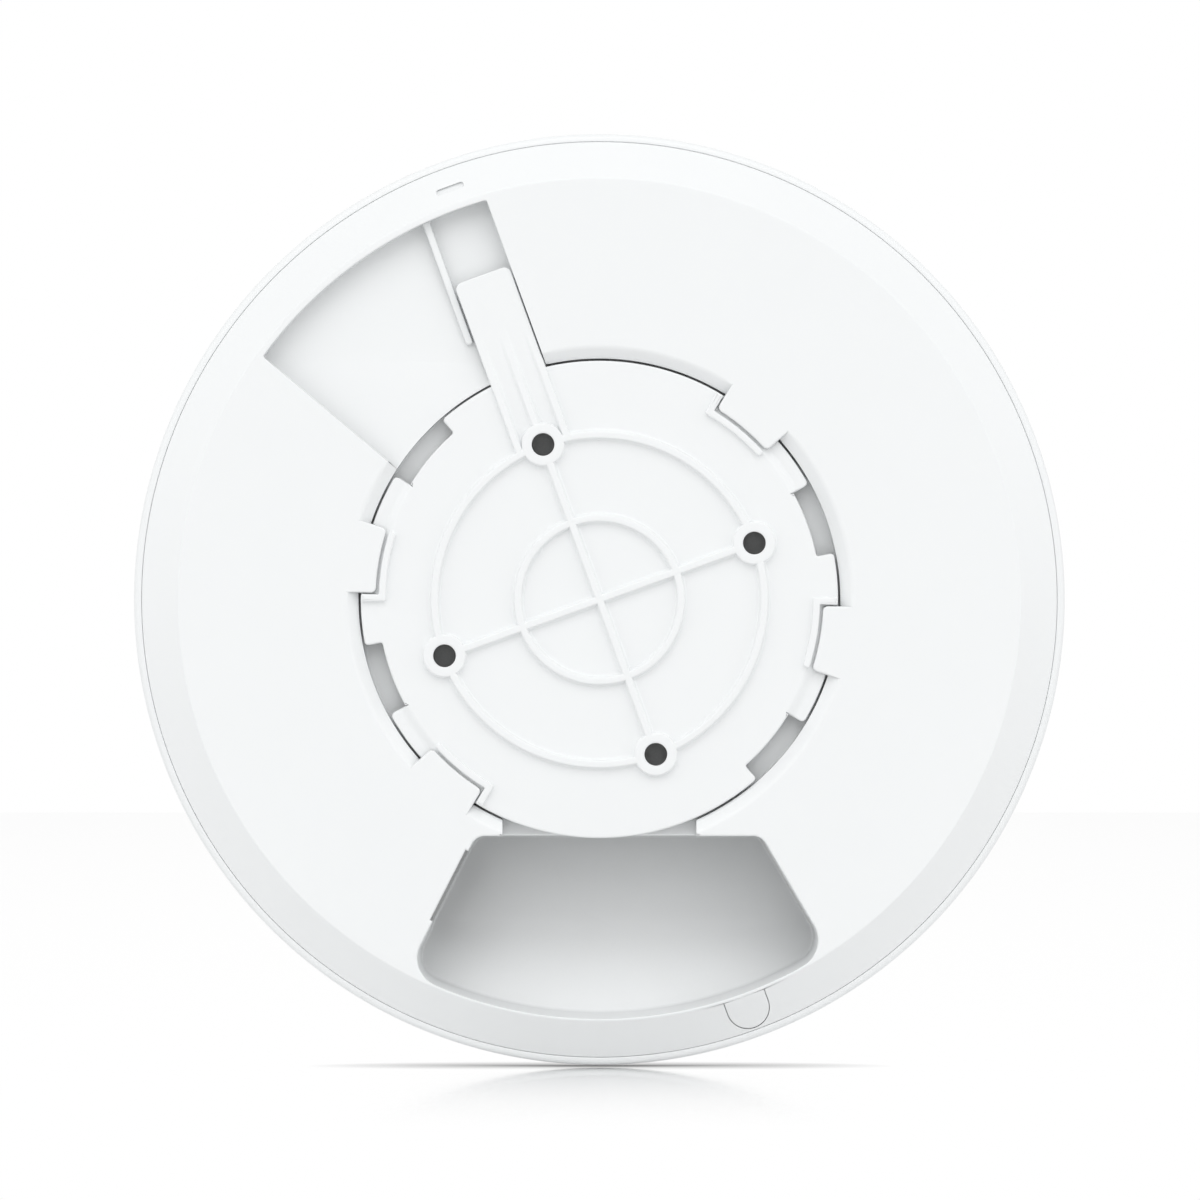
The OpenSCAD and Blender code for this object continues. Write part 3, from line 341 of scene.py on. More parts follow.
finish(patterned("nickel_plate", (0.6, 0.59, 0.57), (0.72, 0.71, 0.69), 0.25, 1, 500, (1, 6, 1)),
       "jack_shell")
finish(patterned("black_plastic", (0.02, 0.02, 0.02), (0.04, 0.04, 0.04), 0.5, 0, 2000),
       "jack_insert", "reset_switch")
finish(patterned("gold_plate", (0.8, 0.55, 0.18), (0.9, 0.66, 0.26), 0.22, 1, 1500),
       "jack_contacts")

# ---------------------------------------------------------------------------- back case
# The back half of the case, injection moulded in white ABS. Its flat back has one opening with
# rounded edges: the bracket's round recess with its bevel and four bayonet tabs, the recess in
# which the latch arm swings, and the deep cable compartment with its ramp.


def polar(r, dir):
    """Point at the distance r in the direction dir."""
    return np.array([r * cos(radians(dir)), r * sin(radians(dir))])


def corner(r, dir, radius=0):
    """Corner of an outline, at the distance r in the direction dir."""
    return np.array([*polar(r, dir), radius])


def curve(r, start, end, step=1.0):
    """Corners without a radius along a circle about the centre, about step degrees apart."""
    return sharp(arc(0, 0, r, start, end, max(2, int(abs(end - start) / step) + 1)))


def shifted(outline, inset):
    """Closed outline moved inwards by inset: each point goes along the sum of the unit normals n
    and m of its two edges, divided by 1 + n . m, so that both edges move by the inset."""
    ahead = np.roll(outline, -1, axis=0) - outline
    ahead = ahead / np.linalg.norm(ahead, axis=1, keepdims=True)
    n = np.column_stack([-ahead[:, 1], ahead[:, 0]])
    m = np.roll(n, 1, axis=0)
    inset = np.broadcast_to(np.asarray(inset, float), len(outline))[:, None]
    return outline + inset * (n + m) / (1 + np.sum(n * m, axis=1, keepdims=True))


def at_height(points, z):
    """Points of an outline at a height, or at one height each."""
    return np.column_stack([points, np.broadcast_to(z, len(points))])


def sheet(z, outer, *holes, up=True):
    """Flat face inside an outline and around the holes in it, cut into triangles."""
    loops = [at_height(loop, z) for loop in (outer, *holes)]
    points = np.concatenate(loops)
    faces = np.array(tessellate_polygon([[Vector(p) for p in loop] for loop in loops]))
    a, b, c = (points[faces[:, k], :2] for k in range(3))
    over = (b - a)[:, 0] * (c - a)[:, 1] - (b - a)[:, 1] * (c - a)[:, 0] > 0
    faces[over != up] = faces[over != up][:, ::-1]
    return points, faces


def edge_rows(q, count=5):
    """Quarter of a circle that rounds an edge, as pairs (share of q outwards, share of q down)."""
    t = np.linspace(0, pi / 2, count)
    return np.column_stack([1 - np.sin(t), 1 - np.cos(t)]) * q


back_z = -0.3
flat_r = 72.1
bevel_r = 43.3
opening_r = 41.35
bevel_low = -2.0
tab_r = 38.4
tab_low = -1.6
sector_r = 71.2
sector_z = -4.5
recess_z = -5.2
compartment_r = 71.95
channel = 16.65
arm_side = 5.2
arm_dir = 110
swing = 30
half_tab = 8.3
tab_dirs = (50, 170, 230, 350)


def sector_height(r):
    """Floor of the arm's recess, which climbs from the outer wall towards the bracket."""
    return sector_z + 1.8 * (sector_r - r) / (sector_r - opening_r)


def sector_open(r):
    """Angle under which half of the arm's width is seen from the centre at the distance r."""
    return np.degrees(np.arcsin(arm_side / r))


def beside(dir, side=0):
    """Direction of the line that runs parallel to the direction dir, side to its left, as a
    function of the distance r: dir plus the angle whose sine is side / r."""
    return lambda r: dir + np.degrees(np.arcsin(side / r))


# Both ends of each stretch of the bevel
bevels = [
    (beside(-90, channel), beside(-10 - half_tab)),
    (beside(-10 + half_tab), beside(50 - half_tab)),
    (beside(50 + half_tab), beside(arm_dir, -arm_side)),
    (beside(arm_dir + swing, arm_side), beside(170 - half_tab)),
    (beside(170 + half_tab), beside(230 - half_tab)),
    (beside(230 + half_tab), beside(270, -channel)),
]


def tab_run(dir):
    """Outline of a bayonet tab from its one root to the other, without the last point."""
    a, b = dir - half_tab, dir + half_tab
    run = rounded(
        [
            corner(bevel_r, a),
            corner(opening_r + 0.02, a),
            corner(opening_r - 0.02, a),
            corner(tab_r, a, 0.9),
            curve(tab_r, a + 1.6, b - 1.6),
            corner(tab_r, b, 0.9),
            corner(opening_r - 0.02, b),
            corner(opening_r + 0.02, b),
            corner(bevel_r, b),
        ]
    )
    return run[:-1]


def sector_run():
    """Outline of the arm's recess from the bevel out, round and back, without the last point."""
    a, b = arm_dir, arm_dir + swing
    end = sector_open(sector_r)
    run = rounded(
        [
            corner(bevel_r, a - sector_open(bevel_r)),
            corner(sector_r, a - end, 0.35),
            curve(sector_r, a - end + 1, b + end - 1),
            corner(sector_r, b + end, 0.35),
            corner(bevel_r, b + sector_open(bevel_r)),
        ]
    )
    return run[:-1]


straight_y = -40.6
left_lean = radians(26.9)
right_lean = radians(30.4)
left_top = np.array([-21.2, straight_y])
right_top = np.array([27.8, straight_y])
left_way = np.array([-sin(left_lean), -cos(left_lean)])
right_way = np.array([sin(right_lean), -cos(right_lean)])
slit_normal = np.array([-cos(left_lean), sin(left_lean)])
slit_span = (2.9, 16.4)
slit_top, slit_low = -1.9, -14.8


def out_to_circle(start, way, r):
    """Point where the line from start meets the circle of radius r."""
    b = start @ way
    return start + way * (sqrt(b * b - start @ start + r * r) - b)


def compartment_run(slit):
    """Outline of the cable compartment from the channel's left side round to its right side. The
    part of the left wall in front of the socket is set back by slit."""
    left_out = out_to_circle(left_top, left_way, compartment_r)
    right_out = out_to_circle(right_top, right_way, compartment_r)
    rim_from = degrees(np.arctan2(left_out[1], left_out[0])) + 5
    rim_to = degrees(np.arctan2(right_out[1], right_out[0])) - 5
    along = np.array([slit_span[0], slit_span[0] + 0.02, slit_span[1] - 0.02, slit_span[1]])
    back = np.array([0, slit, slit, 0])
    wall = left_top + along[:, None] * left_way + back[:, None] * slit_normal
    return rounded(
        [
            [-channel, straight_y, 0],
            [*left_top, 2.5],
            sharp(wall),
            [*left_out, 5],
            curve(compartment_r, rim_from, rim_to),
            [*right_out, 5],
            [*right_top, 2.5],
            [channel, straight_y, 0],
        ],
        steps=10,
    )


def bevel_run(k):
    """Upper edge of one stretch of the bevel, without the last point."""
    start, end = bevels[k]
    count = max(4, int(end(bevel_r) - start(bevel_r)))
    t = np.radians(np.linspace(start(bevel_r), end(bevel_r), count))[:-1]
    return bevel_r * np.column_stack([np.cos(t), np.sin(t)])


def divided(outline, like):
    """Puts points on the edges of an open outline, as many as the edges of like are long in
    millimetres."""
    count = np.ceil(np.linalg.norm(np.diff(like, axis=0), axis=1)).astype(int)
    parts = [
        a + np.linspace(0, 1, n, endpoint=False)[:, None] * (b - a)
        for a, b, n in zip(outline[:-1], outline[1:], count)
    ]
    return np.concatenate([*parts, outline[-1:]])


# The mouth is the outline of all recesses together, counterclockwise, and soft is the radius of
# its edge. The edge is sharper where two runs meet.
plain_compartment = compartment_run(0)
compartment = divided(compartment_run(0.5), plain_compartment)
plain_compartment = divided(plain_compartment, plain_compartment)
on_rim = np.linalg.norm(compartment, axis=1) > compartment_r - 1.2
mouth_runs = [
    ("bevel", bevel_run(0), 0.45),
    ("tab", tab_run(-10), 0.3),
    ("bevel", bevel_run(1), 0.45),
    ("tab", tab_run(50), 0.3),
    ("bevel", bevel_run(2), 0.45),
    ("sector", sector_run(), 0.2),
    ("bevel", bevel_run(3), 0.45),
    ("tab", tab_run(170), 0.3),
    ("bevel", bevel_run(4), 0.45),
    ("tab", tab_run(230), 0.3),
    ("bevel", bevel_run(5), 0.45),
    ("channel", np.array([[-channel, -sqrt(bevel_r**2 - channel**2)]]), 0.2),
    ("compartment", compartment, np.where(on_rim, 0.1, 0.35)),
]
mouth = np.concatenate([run for _, run, _ in mouth_runs])
soft = np.concatenate([np.broadcast_to(q, len(run)) for _, run, q in mouth_runs])
starts = np.cumsum([0] + [len(run) for _, run, _ in mouth_runs])
corner_points = starts[:-2]
corner_soft = 0.12
soft[corner_points] = corner_soft
for off in (1, 2):
    for at in corner_points[1::2] - off, corner_points[0::2] + off:
        soft[at] = np.minimum(soft[at], corner_soft + 0.11 * off)
sink = soft.copy()
sink[corner_points] = 0.03
rim_rows = [(shifted(mouth, -soft * out), down) for out, down in edge_rows(1)]
flat_edge = shifted(mouth, -soft - np.where(soft > 0.11, 0.1, 0.02))
# The flat back ends in a narrow strip beside the edge, which keeps its shading even.
shell = [
    sheet(back_z, arc(0, 0, flat_r, 0, 358.75, 288), flat_edge),
    woven(np.array([at_height(flat_edge, back_z), at_height(rim_rows[0][0], back_z)])),
]


def mouth_slice(outline, first, last):
    """Points of a closed outline from first up to and including last."""
    return outline[np.arange(first, last + 1) % len(outline)]


def mouth_wall(first, last, foot, lean, fillet):
    """Wall below a stretch of the mouth: its rounded edge, its leaning face, and the fillet at its
    foot. Returns the surface and the line in which it meets the floor."""
    rows = [
        at_height(mouth_slice(outline, first, last), back_z - mouth_slice(sink, first, last) * down)
        for outline, down in rim_rows
    ]
    t = np.linspace(0, pi / 2, 5)
    for out, up in zip(lean + fillet * (1 - np.cos(t)), fillet * (1 - np.sin(t))):
        rows.append(at_height(mouth_slice(shifted(mouth, out), first, last), foot + up))
    return woven(np.array(rows), closed=False), rows[-1][:, :2]


next_bevel = iter(bevels)
for first, (kind, run, _) in zip(starts, mouth_runs):
    last = first + len(run)
    if kind == "bevel":
        start, end = next(next_bevel)
        share = np.linspace(0, 1, len(run) + 1)
        upper = mouth_slice(rim_rows[0][0], first, last)
        rows = [at_height(upper, back_z)]
        c = mouth_slice(soft, first, last)
        fall = (back_z - bevel_low) / (bevel_r - opening_r)
        for x in [*np.linspace(-0.6, 1, 5)[:, None] * c, 0.8, 1.1, 1.4, 1.7, bevel_r - opening_r]:
            out = bevel_r - x + 0 * c
            t = np.radians(start(out) + share * (end(out) - start(out)))
            z = back_z - fall * np.where(x < c, (x + c) ** 2 / (4 * c), x)
            rows.append(np.column_stack([out * np.cos(t), out * np.sin(t), z]))
        shell.append(woven(np.array(rows), closed=False))
    elif kind == "tab":
        radius = np.linalg.norm(mouth_slice(mouth, first, last), axis=1)
        foot = np.where(radius > opening_r, bevel_low - 0.1, tab_low)
        wall, _ = mouth_wall(first, last, foot, 0.08, 0.0)
        shell.append(wall)
        tip = mouth_slice(shifted(mouth, 0.08), first, last)
        root = tip / np.linalg.norm(tip, axis=1, keepdims=True) * (opening_r + 0.3)
        shell.append(woven(np.array([at_height(tip, tab_low), at_height(root, tab_low)]),
                           closed=False))
    elif kind == "sector":
        foot = sector_height(np.linalg.norm(mouth_slice(mouth, first, last), axis=1))
        wall, sector_foot = mouth_wall(first, last, foot, 0.03, 0.1)
        shell.append(wall)
    elif kind == "channel":
        wall, _ = mouth_wall(first, last, recess_z, 0.0, 0.0)
        shell.append(wall)
wall, _ = mouth_wall(len(mouth) - 1, len(mouth), recess_z, 0.0, 0.0)
shell.append(wall)

# Ends of the bevel beside the arm's recess and the channel, down to the height of each one's floor
for dir, side, floor in (
    (arm_dir, -arm_side, sector_height),
    (arm_dir + swing, arm_side, sector_height),
    (270, -channel, lambda r: recess_z),
    (270, channel, lambda r: recess_z),
):
    top, low = [polar(sqrt(r**2 - side**2), dir) + polar(side, dir + 90)
                for r in (bevel_r, opening_r)]
    corners = [[*top, back_z], [*low, bevel_low], [*low, floor(opening_r)], [*top, floor(bevel_r)]]
    shell.append((np.array(corners), np.array([[3, 2, 1, 0] if side < 0 else [0, 1, 2, 3]])))

# Floor of the arm's recess, with a straight ridge beside the arm
sector_floor = np.concatenate(
    [sector_foot, arc(0, 0, opening_r, arm_dir + swing + sector_open(opening_r),
                      arm_dir - sector_open(opening_r), 40)]
)
points, faces = sheet(sector_z, sector_floor)
points[:, 2] = sector_height(np.linalg.norm(points[:, :2], axis=1))
shell.append((points, faces))


def rib_rows(low, top, flare, draft, q, count=5):
    """Profile of a rib as pairs (inset, height): a concave fillet of radius flare at its foot, a
    side that leans in by draft, and a rounded edge of radius q."""
    t = np.linspace(0, pi / 2, count)
    foot = np.column_stack([-flare + flare * np.sin(t), low + flare * (1 - np.cos(t))])
    edge = np.column_stack([draft + q * (1 - np.cos(t)), top - q * (1 - np.sin(t))])
    return np.concatenate([foot if flare else foot[:1], edge])


def slab(outline, rows, low=False, holes=(), share=1):
    """Body that stands on an outline: the outline is moved inwards and lifted as the rows say,
    and closed by a flat face at the top and, if asked for, at the bottom. A narrow strip round
    the top keeps the shading of the flat face even."""
    rows = [*rows, (rows[-1][0] + 0.08, rows[-1][1])]
    grid = np.array([at_height(shifted(outline, inset * share), z) for inset, z in rows])
    parts = [woven(grid), sheet(rows[-1][1], grid[-1][:, :2], *holes)]
    if low:
        parts.append(sheet(rows[0][1], grid[0][:, :2], *holes, up=False))
    return parts


def turned_to(outline, dir):
    """Outline turned by dir about the centre."""
    c, s = cos(radians(dir)), sin(radians(dir))
    return outline @ np.array([[c, s], [-s, c]])


ridge_start, ridge_end, ridge_w, ridge_top = 48.6, 71.1, 1.4, -2.3
ridge_line = rounded([[ridge_start, arm_side, 0.55], [ridge_end, arm_side, 0],
                      [ridge_end, arm_side + ridge_w, 0], [ridge_start, arm_side + ridge_w, 0.69]])
shell += slab(turned_to(ridge_line, arm_dir), rib_rows(sector_z, ridge_top, 0.2, 0.1, 0.25))

# Round recess under the bracket, with its wall and the channel's floor. The upper edge of the wall
# changes its level in the directions in notches.
notches = np.array([-66.3, -18.3, -1.7, 41.7, 58.3, 102.78, 147.22, 161.7, 178.3, 221.7, 238.3,
                    246.26])
levels = [bevel_low, tab_low, bevel_low, tab_low, bevel_low, sector_height(opening_r), bevel_low,
          tab_low, bevel_low, tab_low, bevel_low]
for a, b, top in zip(notches[:-1], notches[1:], levels):
    wall = [[opening_r, top], [opening_r, recess_z + 0.3], [opening_r - 0.1, recess_z + 0.1],
            [opening_r - 0.3, recess_z]]
    shell.append(turned(np.array(wall), max(3, int(b - a) + 1), a, b))
floor_line = np.concatenate(
    [
        arc(0, 0, opening_r - 0.3, notches[0], notches[-1], 314),
        [[-channel, -37.8], [-channel, straight_y + 0.35], [channel, straight_y + 0.35],
         [channel, -37.8]],
    ]
)
shell.append(sheet(recess_z, floor_line))


compartment_z = -16.5
ramp_y = -55.8
ramp_slope = 0.526


def floor_height(points):
    """Floor of the compartment: level up to ramp_y, then climbing by ramp_slope, with half of
    (t + the root of t squared plus 4) in place of the distance t, so that the bend is soft."""
    t = ramp_y - points[:, 1]
    return compartment_z + ramp_slope * (t + np.sqrt(t**2 + 4)) / 2


# Cable compartment: its outline goes down a leaning wall, round a fillet and in to the middle
inner = np.linspace(channel, -channel, 24)[:, None] * [1, 0] + [0, straight_y]
inner[[0, -1], 0] *= 0.9999
round_line = np.concatenate([compartment, inner])
plain_line = np.concatenate([plain_compartment, inner])
own = len(compartment)
top_z = np.concatenate([np.full(own, back_z), np.full(len(inner), recess_z)])
q_line = np.concatenate([np.where(on_rim, 0.1, 0.35), np.full(len(inner), 0.35)])
rows = []
for (outline, down), (out, _) in zip(rim_rows, edge_rows(1)):
    upper = mouth_slice(outline, starts[-2], starts[-2] + own - 1)
    channel_part = inner + [0, 0.35 * out]
    rows.append(at_height(np.concatenate([upper, channel_part]), top_z - q_line * down))
along = (plain_line - left_top) @ left_way
off = np.abs((plain_line - left_top) @ slit_normal)
in_slit = (along > slit_span[0] + 0.01) & (along < slit_span[1] - 0.01) & (off < 0.05)
outward = shifted(plain_line, -1) - plain_line
facing = outward[:, 1] / np.linalg.norm(outward, axis=1)
near_slit = np.clip(np.minimum(along - slit_span[0] + 2, slit_span[1] + 2 - along) / 2, 0, 1)
lean = (0.5 - 0.37 * facing) * (1 - 0.97 * near_slit * (off < 0.05))
fillet = 0.5
foot_line = shifted(plain_line, lean)
foot_z = floor_height(foot_line)
rows.append(at_height(round_line, np.where(in_slit, slit_top, top_z - 0.6)))
fillet_top = np.where(in_slit, slit_low, foot_z + fillet)
rows.append(at_height(np.where(in_slit[:, None], round_line, foot_line), fillet_top))
rows.append(at_height(foot_line, fillet_top))
for t in np.linspace(0, pi / 2, 7):
    line = shifted(plain_line, lean + fillet * (1 - cos(t)))
    rows.append(at_height(line, floor_height(line) + fillet * (1 - sin(t))))
middle = np.array([3.0, -57.0])
last_line = rows[-1][:, :2]
for share in np.linspace(0.93, 0, 14):
    line = middle + (last_line - middle) * share
    rows.append(at_height(line, floor_height(line)))
points, faces = woven(np.array(rows))
count = len(round_line)
column = faces.min(axis=1) % count
window_row = len(rim_rows)
row_of = faces.min(axis=1) // count
in_window = in_slit & np.roll(in_slit, -1)
shell.append((points, faces[~((row_of == window_row) & in_window[column])]))

# Sloped band and edge, with a U-shaped gap for the cover of the cable exit
slope = 5 / 6.4
slope_r, band_start, band_end, edge_r = 72.3, 72.5, 78.4, 78.66
rim_in, rim_low = 77, -6.9
exit_dir, exit_half, exit_depth = 290, 7, 1.2


def band_height(r):
    """Height of the sloped band, which starts with a soft bend where the flat back ends."""
    t = r - slope_r
    return back_z - slope * (t + np.sqrt(t**2 + 0.01)) / 2


bend_r = np.linspace(flat_r, band_start, 7)[::-1]
bend_z = band_height(bend_r)
bend_z[-1] = back_z
shell.append(turned(np.column_stack([bend_r, bend_z])))
band_r = np.linspace(band_end, band_start, 8)
band = np.column_stack([band_r, band_height(band_r)])
shell.append(turned(band, 140, exit_dir + exit_half, 360 + arm_dir - 4))
shell.append(turned(band, 140, arm_dir + 4, exit_dir - exit_half))
rim_z = band_height(band_end)
edge_profile = np.array(
    [[rim_in, rim_low], [rim_in, rebate_z], [edge_r, rebate_z], [edge_r, rim_z - 0.35],
     [edge_r - 0.04, rim_z - 0.17], [edge_r - 0.12, rim_z - 0.07], [band_end, rim_z]]
)
shell.append(turned(edge_profile, 384))
under = np.array([[slope_r, -2.1], [rim_in, rim_low + 1], [rim_in, rim_low]])
shell.append(turned(under, 192))


def band_patch(far, near, depth):
    """Part of the sloped band between two lines of points (distance, direction), far outside and
    near inside, with a wall of the given depth down from the near line."""
    rows = []
    for share in np.linspace(0, 1, 7):
        r, t = (far + share * (near - far)).T
        rows.append(np.column_stack([r * np.cos(np.radians(t)), r * np.sin(np.radians(t)),
                                     band_height(r)]))
    return np.array([*rows, rows[-1] - [0, 0, depth]])


def to_polar(points, about):
    """Distances and directions of points, with directions within 180 degrees of about."""
    t = np.degrees(np.arctan2(points[:, 1], points[:, 0]))
    return np.column_stack([np.linalg.norm(points, axis=1), (t - about + 180) % 360 - 180 + about])


def exit_line(inset, count):
    """U-shaped outline of the cable exit from its upper left end round to its upper right end."""
    half = 3.75 - inset
    centre = 74.55
    side = np.column_stack([np.linspace(band_start, centre, 8), np.full(8, half)])
    bow = arc(centre, 0, half, 90, -90, count)
    return turned_to(np.concatenate([side[:-1], bow, (side * [1, -1])[::-1][1:]]), exit_dir)


side_r = np.linspace(band_start, band_end, 8)
far = np.concatenate(
    [
        np.column_stack([side_r[:-1], np.full(7, exit_dir + exit_half)]),
        np.column_stack([np.full(40, band_end), np.linspace(exit_dir + exit_half,
                                                            exit_dir - exit_half, 40)]),
        np.column_stack([side_r[::-1][1:], np.full(7, exit_dir - exit_half)]),
    ]
)
near = to_polar(exit_line(0, 40), exit_dir)
shell.append(woven(band_patch(far, near, exit_depth)[:, ::-1], closed=False))

# Slot for the release blade, in line with the arm: its outline and the border of the band around
# it are both divided into four corners with seven points each
slot_middle, slot_half = 75.05, 4
slot_line = rounded([[slot_middle - 0.5, -2.5, 0.45], [slot_middle + 0.5, -2.5, 0.45],
                     [slot_middle + 0.5, 2.5, 0.45], [slot_middle - 0.5, 2.5, 0.45]], steps=6)
border = np.array([[band_start, arm_dir - slot_half], [band_end, arm_dir - slot_half],
                   [band_end, arm_dir + slot_half], [band_start, arm_dir + slot_half]])
steps = np.array([1, 0.66, 0.33, 0])[:, None] * 0.49
far = np.concatenate(
    [
        np.concatenate([here + steps * (before - here), (here + steps * (after - here))[-2::-1]])
        for before, here, after in zip(np.roll(border, 1, axis=0), border,
                                       np.roll(border, -1, axis=0))
    ]
)
grid = band_patch(far, to_polar(turned_to(slot_line, arm_dir), arm_dir), 0.15)
middle = grid[-1].mean(axis=0)
inner = middle + (grid[-1] - middle) * 0.93 - [0, 0, 0.3]
shell.append(woven(np.concatenate([grid, [inner], [np.tile(middle - [0, 0, 0.3], (len(far), 1))]])))


def with_painted_shade(material, hollow_shade, depth_shade):
    """Paints shade into the colour of a plastic, by two factors: darker by up to the first share in
    hollows a few centimetres across, found by ambient occlusion, and by up to the second share where
    the case is 7 to 16.5 mm deep."""
    nodes, links = material.node_tree.nodes, material.node_tree.links
    colour = nodes["Principled BSDF"].inputs["Base Color"]
    place = added(nodes, "TexCoord")
    split = added(nodes, "SeparateXYZ")
    sky = added(nodes, "AmbientOcclusion", {"Distance": 0.03}, samples=8, only_local=True)
    hollow = added(nodes, "MapRange", {"From Min": 0.45, "From Max": 0.9, "To Min": 1 - hollow_shade})
    depth = added(nodes, "MapRange", {"From Min": 0.007, "From Max": 0.0165, "To Min": 1,
                                      "To Max": 1 - depth_shade})
    both = added(nodes, "Math", operation="MULTIPLY")
    shaded = added(nodes, "Mix", {"Factor": 1}, data_type="RGBA", blend_type="MULTIPLY")
    links.new(colour.links[0].from_socket, shaded.inputs["A"])
    links.new(sky.outputs["AO"], hollow.inputs["Value"])
    links.new(place.outputs["Object"], split.inputs["Vector"])
    links.new(split.outputs["Y"], depth.inputs["Value"])
    links.new(depth.outputs["Result"], both.inputs[0])
    links.new(hollow.outputs["Result"], both.inputs[1])
    links.new(both.outputs["Value"], shaded.inputs["B"])
    links.new(shaded.outputs["Result"], colour)
    return material


# White plastic of the back case, with painted shade in its hollows and where the case is deep
back_white_painted_shade = with_painted_shade(plastic("back_case_plastic_painted_shade", (0.86, 0.875, 0.88), 0.42), 0.13, 0.22)
piece("back_case_shell", shell, back_white_painted_shade, "access_point", ["back_case"])

# ---------------------------------------------------------------------------- cable exit cover
# A small cover, moulded in white ABS like the case, that closes the cable exit and can be pulled
# out. It follows the sloped band, with a hairline gap round it.

cover_line = exit_line(0.12, 40)
closed_line = np.concatenate([cover_line, np.linspace(cover_line[-1], cover_line[0], 10)[1:-1]])
closed_line = closed_line[::-1]
rows = []
for inset, down in ((0, exit_depth), (0, 0.08), (0.02, 0.03), (0.08, 0)):
    line = shifted(closed_line, inset)
    rows.append(at_height(line, band_height(np.linalg.norm(line, axis=1)) - down))
middle = polar(74.6, exit_dir)
for share in np.linspace(0.9, 0, 8):
    line = middle + (rows[3][:, :2] - middle) * share
    rows.append(at_height(line, band_height(np.linalg.norm(line, axis=1))))
piece("cable_exit_cover_plate", [woven(np.array(rows))], case_white, "cable_cover",
      ["cable_exit_cover"])

# ---------------------------------------------------------------------------- reset button
# A round white ABS button in the straight wall of the compartment. Its collar keeps it in from
# behind, and its stem presses the switch on the board.

finish(plastic("button_plastic", (0.86, 0.87, 0.88), 0.4), "reset_button")

# ---------------------------------------------------------------------------- label
# A paper label without print, glued to the floor of the bracket's recess. Its dark grey is painted
# shade: it stands for the shade seen through the holes of the bracket.

finish(patterned("label_paper_painted_shade", (0.27, 0.27, 0.27), (0.3, 0.3, 0.3), 0.7, 0, 3000, (1, 1, 1)),
       "rating_label")

# ---------------------------------------------------------------------------- mounting bracket
# The bracket is screwed to the wall or ceiling, moulded in white nylon. Its disc has two rib
# rings, a cross and four screw bosses, and at its edge four notches, lowered lips and L-shaped
# stops for the tabs of the case.

bracket_white = plastic("bracket_plastic", (0.86, 0.875, 0.88), 0.5)
disc_r = 40.99
plate_z = -1.2
plate_low = -3.2
hole_r = 28.284
notch_r = 38.0
step_r = 37.4
# Degrees from each tab to the start of its notch, the start of its lip and the end of its stop
to_notch, to_lip, to_stop = -38.75, -21.25, 8.6
disc_line = []
for dir, following in zip(tab_dirs, (*tab_dirs[1:], tab_dirs[0] + 360)):
    notch, lip, stop = dir + to_notch, dir + to_lip, dir + to_stop
    disc_line += [
        corner(disc_r, notch, 0.7),
        corner(notch_r, notch, 0.4),
        curve(notch_r, notch + 1, lip - 0.5),
        corner(notch_r, lip, 0.1),
        corner(step_r, lip, 0.1),
        curve(step_r, lip + 1, stop + 0.5),
        corner(step_r, stop + 1),
        corner(disc_r, stop + 1),
        curve(disc_r, stop + 2, following + to_notch - 1.3),
    ]
disc_line = rounded(disc_line)
screw_r, sleeve_r = 1.95, 2.6
screw_holes = [arc(*polar(hole_r, arm_dir + 90 * k), sleeve_r, 0, -352, 45) for k in range(4)]
# The edge isn't rounded where the lips' own faces carry on from the disc.
on_edge = np.where(np.linalg.norm(disc_line, axis=1) < 37.5, 0.01, 1)
bracket = slab(disc_line, rib_rows(plate_low, plate_z, 0, 0.05, 0.3), low=True, holes=screw_holes,
               share=on_edge)


def smooth(share):
    """Even change from 0 to 1 with soft ends: the share squared times (3 minus twice the share)."""
    return share**2 * (3 - 2 * share)


# Lowered lips, whose face sinks softly from the disc, and L-shaped stops
lip_in, lip_z = 36.5, -1.9
stop_in, stop_out = 36.6, 37.93
for dir in tab_dirs:
    lip, stop = dir + to_lip, dir + to_stop
    lip_line = rounded(
        [
            corner(lip_in, lip),
            corner(disc_r, lip, 0.8),
            curve(disc_r, lip + 1.5, stop + 0.8),
            corner(lip_in, stop + 0.8),
            curve(lip_in, stop, lip + 0.5),
        ]
    )
    bracket += slab(lip_line, rib_rows(plate_low, lip_z, 0, 0.05, 0.25), low=True)
    r = np.linspace(39.1, 37.0, 12)[:, None]
    share = np.clip((r - 37.35) / 1.7, 0, 1)
    t = np.radians(np.concatenate([[0.12, 0.12, 0.25, 0.4], np.linspace(0.6, stop - lip, 30)])
                   + lip)
    z = plate_z - 0.002 - (plate_z - lip_z) * smooth(share) + 0 * t
    z[:, :4] -= [1.3, 0.3, 0.09, 0.01]
    bracket.append(woven(np.stack([r * np.cos(t), r * np.sin(t), z], axis=-1), closed=False))
    stop_line = rounded(
        [
            corner(stop_in, dir - half_tab, 0.6),
            corner(stop_out, dir - half_tab, 0.4),
            curve(stop_out, dir - 7, stop - 0.6),
            corner(stop_out, stop, 0.12),
            corner(disc_r - 0.03, stop, 0.35),
            corner(disc_r - 0.03, stop + 2, 0.35),
            corner(stop_in, stop + 2, 0.5),
            curve(stop_in, stop + 0.8, dir - 7),
        ]
    )
    bracket += slab(stop_line, rib_rows(-2.6, back_z, 0, 0.06, 0.28))

# Rib rings, cross and bosses, with fillets where they stand on the disc. Where ribs cross, their
# tops differ by a few microns.
rib_low = plate_z - 0.01
rib_half = 0.7
big_ring_in, big_ring_out = 27.58, 28.98
small_ring_in, small_ring_out = 13.3, 14.7


def bracket_rib(gap):
    """Profile of a rib of the bracket, whose top stays gap below the wall."""
    return rib_rows(rib_low, -gap, 0.45, 0.06, 0.3)


